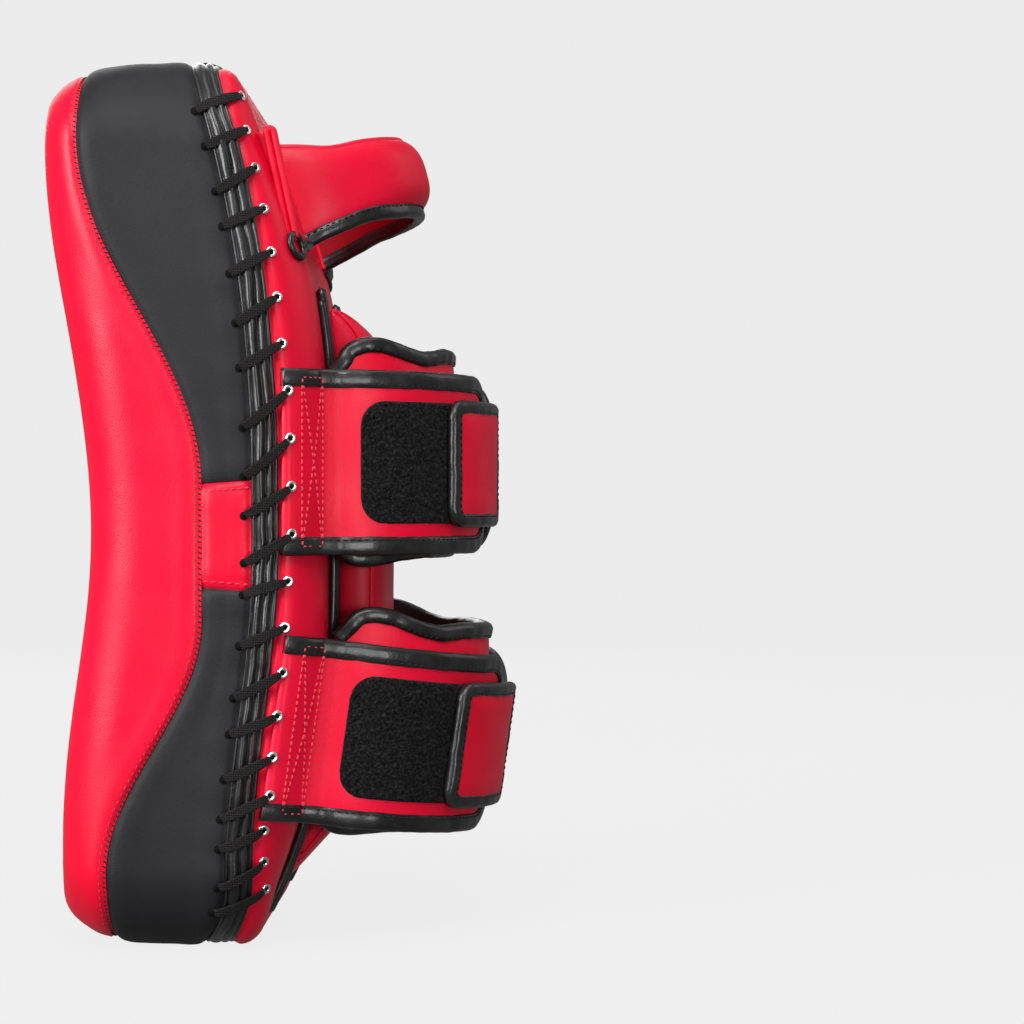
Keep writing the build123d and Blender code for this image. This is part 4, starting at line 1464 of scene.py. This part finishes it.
def build_cuff(c):
    """The padded inner cuff: plump outer leather, soft lining and bound wavy rims."""
    mid = CUFF_THICK / 2
    plan = ellipse(0, CUFF_HALF_WIDTH - mid, c.cuff_rise - mid + 1.2, 0.0, 180.0, 140)
    ribbon = Ribbon(smooth_plan(plan), c.place)
    length = ribbon.length
    places = np.linspace(0.5, length - 0.5, 110)
    across = np.linspace(-1, 1, 41)
    seed = 51 if c.name == "upper" else 61

    def half_at(s, known):
        return np.interp(np.minimum(s, length - s), *known)

    def section(s, outer):
        h = np.where(across > 0, across * half_at(s, CUFF_TOP), across * half_at(s, CUFF_LOW))
        plump = (1 - np.abs(across) ** 3.2) ** 0.7
        base = ribbon.at(s, h, 0.0)
        puckers = 0.2 * ripple(base, 9.0, seed + 1) * np.abs(across) ** 3
        rise = 1.2 + (mid - 0.9) * plump + (0.5 * ripple(base, 26.0, seed) * plump + puckers)
        if outer:
            return np.vstack([ribbon.at(s, h, rise), ribbon.at(s, h[::-1], 0.15)])
        return np.vstack([ribbon.at(s, h, -0.15), ribbon.at(s, h[::-1], -rise[::-1])])

    cover = tube(f"{c.name}_cuff_outer", [section(s, True) for s in places], RED)
    # The lining's half-bright red is painted shade inside the cuff
    lining = tube(f"{c.name}_cuff_inner", [section(s, False) for s in places], SHADED_LINING_RED)
    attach(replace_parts(cover, f"{c.name}_cuff_cover", f"{c.name}_cuff_padding"), "root")
    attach(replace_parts(lining, f"{c.name}_cuff_lining"), "root")
    rims, rows = [], []
    for tag, sign, known in (("top", 1, CUFF_TOP), ("low", -1, CUFF_LOW)):
        s = np.linspace(0.5, length - 0.5, 260)
        smooth = np.convolve(np.pad(half_at(s, known), 6, mode="edge"), np.ones(13) / 13, mode="valid")
        line = np.stack([s, sign * (smooth + 2.6)], axis=1)
        slope = np.gradient(line[:, 1], line[:, 0])
        inward = unit(np.stack([sign * slope, np.full(len(s), -float(sign))], axis=1))
        rims.append(bind_edge(f"{c.name}_cuff_{tag}", ribbon, line, inward, 6.6, 6.6, seed + 3, 0.35))
        rows.append(edge_stitches(f"{c.name}_cuff_row_{tag}", ribbon, line, inward, 5.4, 3.5, RIM_GAUGE))
    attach(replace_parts(join(f"{c.name}_cuff_rims", rims), f"{c.name}_cuff_binding"), "root")
    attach(join(f"{c.name}_cuff_stitches", rows), "root")


# ---------------------------------------------------------------- forearm cushion


def cushion_height(z):
    """Rise of the cushion over the back cover: a long ramp below and a rounded nose above."""
    ramp = CUSHION_CROWN * swell((z - CUSHION_BOTTOM + 6.0) / CUSHION_RAMP)
    nose = np.maximum(0.0, (z - CUSHION_SHOULDER) / CUSHION_NOSE)
    return np.maximum(np.minimum(ramp, CUSHION_CROWN * np.sqrt(np.maximum(0.0, 1 - nose**2))), 1.5)


def cushion_sewn(points):
    """True at the cushion's foot and along its two top edges, where its panels are sewn."""
    rise = points[:, 1] - back_y(points[:, 2])
    wall = CUSHION_WALL * cushion_height(points[:, 2])
    foot = rise < 2.5
    edge = (np.abs(points[:, 0]) > CUSHION_HALF - 4.5) & (np.abs(rise - wall) < 3.0)
    return foot | edge


def cushion_loop(z):
    """The cushion's section at a height: a bulging wall, a crowned top and the other wall."""
    full = float(cushion_height(z))
    wall = full * CUSHION_WALL
    half = CUSHION_HALF
    bulge = min(1.0, full / 12.0)
    loop = [(-half + 1.0, 0.0)]
    for t in np.linspace(0.0, 1.0, 9)[1:]:
        loop.append((-half + 1.0 - 2.2 * math.sin(math.pi * t) * bulge + 1.2 * t, wall * t))
    for x in np.linspace(-1, 1, 35)[1:-1]:
        loop.append((x * (half - 0.6), wall + (full - wall) * CUSHION_SLACK * (1 - abs(x) ** 2.6)))
    for t in np.linspace(1.0, 0.0, 9):
        loop.append((half - 1.0 + 2.2 * math.sin(math.pi * t) * bulge - 1.2 * t, wall * t))
    return loop, wall


def build_cushion():
    """A boxed cushion: bulging side walls, a sewn top edge and a crowned top, swelled as cloth."""
    spans = ((CUSHION_BOTTOM, 60, 26), (60, 250, 84), (250, CUSHION_TOP, 26))
    zs = np.concatenate([np.linspace(*span)[:-1] for span in spans] + [[CUSHION_TOP]])
    sections, seam = [], {1: [], -1: []}
    for z in zs:
        loop, wall = cushion_loop(z)
        base = float(back_y(z)) + 0.3
        sections.append([(x, base + y, z) for x, y in loop])
        for side in (1, -1):
            seam[side].append((side * CUSHION_HALF, base + wall + 0.1, z))
    points = np.array(sections)
    bulge = 0.8 * ripple(points, 34.0, 71) + 0.35 * ripple(points, 14.0, 72)
    points[..., 1] += bulge * np.clip((points[..., 1] - back_y(points[..., 2])) / 6.0, 0, 1)
    cover = tube("forearm_cushion", points, RED)
    inflate(cover, 4.5, 4.0, CUSHION_SWELL, cushion_sewn)
    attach(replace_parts(cover, "cushion_cover", "cushion_foam"), "root")
    tree = surface_tree(cover)
    for side, tag in ((1, "near"), (-1, "far")):
        inward = (-side * 0.55, -0.83, 0.0)
        path = np.array([drop_on(tree, point, inward)[0] for point in seam[side]])
        up = -np.tile(inward, (len(path), 1))
        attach(cord_tube(f"cushion_seam_{tag}", path, 1.1, RED, up, 10, 0.9), "root")
        row_path = path + np.array([side * 0.6, -2.6, 0.0])
        sideways = np.tile([side * 1.0, 0.0, 0.0], (len(path), 1))
        row = stitches(f"cushion_stitches_{tag}", row_path, sideways, (3.2, 2.3, 0.55), FACE_THREAD)
        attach(row, "root")
        build_piping(side, tag)


def build_piping(side, tag):
    """The doubled glossy cord at the cushion's foot."""
    top = CUSHION_TOP + 8.0
    z = np.linspace(CUSHION_BOTTOM - 3.0, top, 160)
    cords = []
    for offset, radius, shorter in ((CUSHION_HALF + 3.3, 2.5, 0.0), (CUSHION_HALF + 7.2, 1.9, -6.0)):
        up_to = np.clip(z, None, top + shorter)
        x = side * (offset + (0.5 * np.sin(z / 23.0 + offset) + 0.25 * np.sin(z / 7.0)))
        path = np.stack([x, back_y(up_to) + radius * 0.9, up_to], axis=1)
        path = path[np.concatenate([[True], np.diff(up_to) > 1e-6])]
        to_end = np.minimum(path[:, 2] - path[0, 2], path[-1, 2] - path[:, 2])
        taper = radius * np.sqrt(np.clip(1 - (1 - np.clip(to_end / radius, 0, 1)) ** 2, 0.02, 1))
        up = np.tile([0.0, 1.0, 0.0], (len(path), 1))
        cords.append(cord_tube(f"piping_{tag}_{offset:.0f}", path, taper, GLOSS, up, 14, 0.95))
    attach(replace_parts(join(f"{tag}_piping", cords), f"{tag}_cushion_piping"), "root")


# ---------------------------------------------------------------- hand loop


def build_handle():
    """The hand loop: a leather band that thickens into a padded grip, bound below and lined inside."""
    turn = Matrix.Rotation(math.radians(HANDLE_TILT), 4, "X")
    place = Matrix.Translation((0, float(back_y(HANDLE_HEIGHT)), HANDLE_HEIGHT)) @ turn
    plan = ellipse(0, HANDLE_HALF_WIDTH - HANDLE_MID, HANDLE_REACH - HANDLE_MID, 0.0, 180.0, 120)
    ribbon = Ribbon(smooth_plan(plan), place)
    length = ribbon.length
    places = np.linspace(0.0, length, 120)
    across = np.linspace(-1, 1, 37)

    def measures(s):
        """Reach of the band above and below its middle line, and its thickness."""
        share = math.sin(math.pi * s / length)
        top = 22.0 - 6.0 * share**0.7 - 2.4 * math.exp(-(((share - 0.42) / 0.22) ** 2)) + 2.2 * share**6
        low = 26.0 - 7.0 * min(1.0, 1.7 * share) ** 0.9
        return top, low, 5.0 + 10.0 * share**4

    def section(s, outer):
        top, low, thick = measures(s)
        h = np.where(across > 0, across * (top - 1.0), across * (low - 4.0))
        plump = (1 - np.abs(across) ** 3.0) ** 0.75
        rise = 1.3 + (thick / 2 - 0.4) * plump + 0.5 * ripple(ribbon.at(s, h, 0.0), 22.0, 81) * plump
        if outer:
            return np.vstack([ribbon.at(s, h, rise), ribbon.at(s, h[::-1], 0.15)])
        return np.vstack([ribbon.at(s, h, -0.15), ribbon.at(s, h[::-1], -0.8 * rise[::-1])])

    cover = tube("hand_loop_cover", [section(s, True) for s in places], RED)
    # The lining's half-bright red is painted shade inside the hand loop
    lining = tube("hand_loop_lining", [section(s, False) for s in places], SHADED_LINING_RED)
    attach(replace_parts(cover, "handle_cover", "handle_foam"), "root")
    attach(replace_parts(lining, "handle_lining"), "root")
    s = np.linspace(0.0, length, 240)
    reach = np.array([measures(v)[:2] for v in s])
    low = np.stack([s, -reach[:, 1] - 0.6], axis=1)
    inward = np.tile([0.0, 1.0], (len(s), 1))
    binding = bind_edge("hand_loop_binding", ribbon, low, inward, 6.0, 5.0, 83, 0.3)
    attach(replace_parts(binding, "handle_binding"), "root")
    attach(edge_stitches("hand_loop_row", ribbon, low, inward, 4.9, 2.8, RIM_GAUGE), "root")
    high = reach[:, 0] - 0.8
    bead = cord_tube("hand_loop_top_seam", ribbon.at(s, high, 0.0), 1.5, RED, ribbon.up(s, high), 10)
    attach(bead, "root")
    for side, tag in ((1, "near"), (-1, "far")):
        build_flange(side, tag)


FLANGE_X = 84.0
FLANGE_GAP = 3.1
FLANGE_ROLL = 1.6
FLANGE_HALF = 23.0
FLANGE_REAR = 7.9
FLANGE_SLOPE = 0.21


def back_point(x, z):
    """A point of the back cover's surface at a given place across and up."""
    into = abs(x) - (float(half_width(z)) - BACK_ROUND_SIDE)
    drop = BACK_ROUND_SIDE - math.sqrt(BACK_ROUND_SIDE**2 - min(BACK_ROUND_SIDE - 1.0, max(0.0, into)) ** 2)
    return np.array([x, float(back_y(z)) - drop, z])


def flange_line(z):
    """Depth of the hand loop's sewn root: straight, so that it stands proud of the cover at its top."""
    return FLANGE_REAR - FLANGE_SLOPE * (z - HANDLE_HEIGHT + FLANGE_HALF)


def build_flange(side, tag):
    """The hand loop's sewn root: a flat flange edged by a roll of red leather folded back on itself."""
    low, high = HANDLE_HEIGHT - FLANGE_HALF, HANDLE_HEIGHT + FLANGE_HALF
    plan = [(-0.5, z) for z in np.linspace(low, high, 40)]
    for angle in np.linspace(0, np.pi, 14)[1:-1]:
        plan.append((-0.5 * math.cos(angle), high + FLANGE_GAP / 2 * math.sin(angle)))
    plan += [(0.5, z) for z in np.linspace(high, low, 40)]
    path = np.array([(side * (FLANGE_X - 0.6 * y), flange_line(z) + FLANGE_GAP * y, z) for y, z in plan])
    up = np.tile([side * 0.95, 0.3, 0.0], (len(path), 1))
    roll = cord_tube(f"{tag}_handle_roll", path, FLANGE_ROLL, RED, up, 14)
    sheet = []
    for z in np.linspace(low - 1.0, high, 40):
        row = np.array([back_point(side * x, z) for x in np.linspace(50.0, FLANGE_X - 0.8, 24)])
        share = swell((np.abs(row[:, 0]) - 56.0) / (FLANGE_X - 57.0))
        proud = np.maximum(flange_line(z) + 1.0 - row[:, 1], 1.0)
        top = row.copy()
        top[:, 1] += 1.5 + (proud - 1.5) * share
        sheet.append(np.vstack([top, row[::-1] - [0.0, 0.3, 0.0]]))
    flange = join(f"{tag}_handle_root", [roll, tube(f"{tag}_handle_flat", sheet, RED)])
    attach(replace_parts(flange, f"{tag}_handle_flange"), "root")

    low -= 1.0
    lean = [side * 0.5, 0.86, 0.0]
    angle = np.linspace(-0.2, 2 * math.pi - 0.2, 40, endpoint=False)
    place = [(FLANGE_X - 0.5 + 4.4 * math.cos(a), low - 2.5 + 5.0 * math.sin(a)) for a in angle]
    path = np.array([back_point(side * x, z) for x, z in place]) + [0.0, 1.2, 0.0]
    loop = cord_tube(f"{tag}_root_loop", path, 1.7, GLOSS, np.tile(lean, (len(path), 1)), 12, 0.9, True)
    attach(loop, "root")
    ends = np.linspace(0, 1, 24)
    start = back_point(side * (FLANGE_X - 4.0), low - 2.0)
    finish = back_point(side * (HANDLE_HALF_WIDTH - 4.0), HANDLE_HEIGHT - 23.0)
    fold = start[None] * (1 - ends[:, None]) + finish[None] * ends[:, None]
    fold[:, 1] += 1.0 + 1.5 * np.sin(np.pi * ends)
    bunch = 2.7 + 0.3 * np.sin(ends * 11.0) + 0.15 * np.sin(ends * 31.0)
    gather = cord_tube(f"{tag}_root_gather", fold, bunch, GLOSS, np.tile(lean, (24, 1)), 16, 0.8)
    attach(gather, "root")


# ---------------------------------------------------------------- stage, light and camera


# The stage and the lights are in metres
FLOOR_RADIUS = 3.4
WALL_BEND = 1.6
WALL_HEIGHT = 4.0
STAGE_SIDES = 96
PAPER_GLOW = 0.825
AIR_GLOW = 0.19
LIT_MIDDLE = (0.0, 0.0, 0.2)

# Each light's name, place, side length and power
LIGHTS = (
    ("key", (1.5, -1.65, 0.8), 1.2, 62.0),
    ("front", (1.7, 0.1, 2.0), 1.2, 38.0),
    ("near", (2.0, 1.0, 0.1), 0.8, 18.0),
    ("top", (0.1, 0.3, 2.1), 1.4, 9.0),
    ("far_side", (-1.9, -0.5, 1.2), 1.2, 16.0),
    ("behind", (-0.7, 2.1, 1.4), 1.2, 5.0),
)


def build_stage():
    """A pale floor that curves up into a wall all round. It glows a little, so that it stays even."""
    profile = [(0.001, 0.0), (0.4, 0.0), (1.2, 0.0), (FLOOR_RADIUS, 0.0)]
    for a in np.linspace(0, 90, 24)[1:]:
        t = math.radians(a)
        profile.append((FLOOR_RADIUS + WALL_BEND * math.sin(t), WALL_BEND - WALL_BEND * math.cos(t)))
    profile.append((FLOOR_RADIUS + WALL_BEND, WALL_HEIGHT))
    vertices = []
    for r, z in profile:
        for k in range(STAGE_SIDES):
            t = 2 * math.pi * k / STAGE_SIDES
            vertices.append((r * math.cos(t), r * math.sin(t), z))
    mesh = bpy.data.meshes.new("studio")
    rings = [f[::-1] for f in grid_faces(len(profile), STAGE_SIDES, False, True)]
    mesh.from_pydata(vertices, [], rings + [tuple(range(STAGE_SIDES))])
    mesh.shade_smooth()
    n = Nodes("studio_paper")
    tone = n.blend(n.noise(0.6, 2.0), (0.03, 0.03, 0.03), (0.032, 0.032, 0.032))
    n.set(Base_Color=tone, Roughness=0.9, Specular_IOR_Level=0.0)
    mesh.materials.append(n.set(Emission_Color=(1.0, 1.0, 1.0), Emission_Strength=PAPER_GLOW))
    obj = bpy.data.objects.new("studio", mesh)
    obj.visible_diffuse = False
    obj.visible_glossy = False
    bpy.context.scene.collection.objects.link(obj)


def area_light(name, place, size, power):
    """A square light that faces the middle of the pad."""
    data = bpy.data.lights.new(name, "AREA")
    data.shape = "RECTANGLE"
    data.size = data.size_y = size
    data.energy = power
    obj = bpy.data.objects.new(name, data)
    obj.location = place
    obj.rotation_mode = "QUATERNION"
    obj.rotation_quaternion = (Vector(LIT_MIDDLE) - Vector(place)).to_track_quat("-Z", "Y")
    bpy.context.scene.collection.objects.link(obj)


def build_lights():
    scene = bpy.context.scene
    world = bpy.data.worlds.new("studio_air")
    world.use_nodes = True
    background = next(n for n in world.node_tree.nodes if n.type == "BACKGROUND")
    background.inputs["Color"].default_value = (1, 1, 1, 1)
    background.inputs["Strength"].default_value = AIR_GLOW
    scene.world = world
    for light in LIGHTS:
        area_light(*light)
    scene.view_settings.view_transform = "Standard"


CAMERA_DISTANCE = 1.2
CAMERA_LENS = 90.0
CAMERA_SENSOR = 36.0
CAMERA_AHEAD = 0.002
CAMERA_BELOW = 0.004


def build_camera():
    """The camera looks square at the near side from behind the pad's middle."""
    eye_y = cad_high[1] - CAMERA_AHEAD
    eye_z = (cad_low[2] + cad_high[2]) / 2 - CAMERA_BELOW
    data = bpy.data.cameras.new("camera")
    data.lens = CAMERA_LENS
    data.sensor_width = CAMERA_SENSOR
    camera = bpy.data.objects.new("camera", data)
    camera.location = (CAMERA_DISTANCE, eye_y, eye_z)
    camera.rotation_mode = "QUATERNION"
    camera.rotation_quaternion = Vector((-1, 0, 0)).to_track_quat("-Z", "Y")
    bpy.context.scene.collection.objects.link(camera)
    bpy.context.scene.camera = camera


# ---------------------------------------------------------------- assembly

COVERS = (
    "striking_cover_skin",
    "back_cover_skin",
    "near_side_patch_skin",
    "far_side_patch_skin",
    "upper_side_gusset_skin",
    "lower_side_gusset_skin",
)
LACED = COVERS + tuple(
    f"{level}_{end}_strap_{part}"
    for part in ("panel", "edge")
    for level in ("upper", "lower")
    for end in ("near", "far")
)

build_camera()
build_stage()
build_lights()
block_stitching(*build_block())
cover_tree = surface_tree(*[bpy.data.objects[name] for name in COVERS])
build_end_lace(cover_tree)
closures = (
    Closure("upper", 214.0, 0.0, 55.0, 67.4, 73.0, 39.0),
    Closure("lower", 97.0, 8.0, 70.0, 77.0, 82.6, 36.0),
)
for closure in closures:
    build_strap(closure, "near", closure.near, 1, STRAP_CORNER, 11)
    build_strap(closure, "far", closure.far, -1, FAR_CORNER, 21)
    build_tab(closure)
    build_cuff(closure)
build_lacing(surface_tree(*[bpy.data.objects[name] for name in LACED]))
build_cushion()
build_handle()
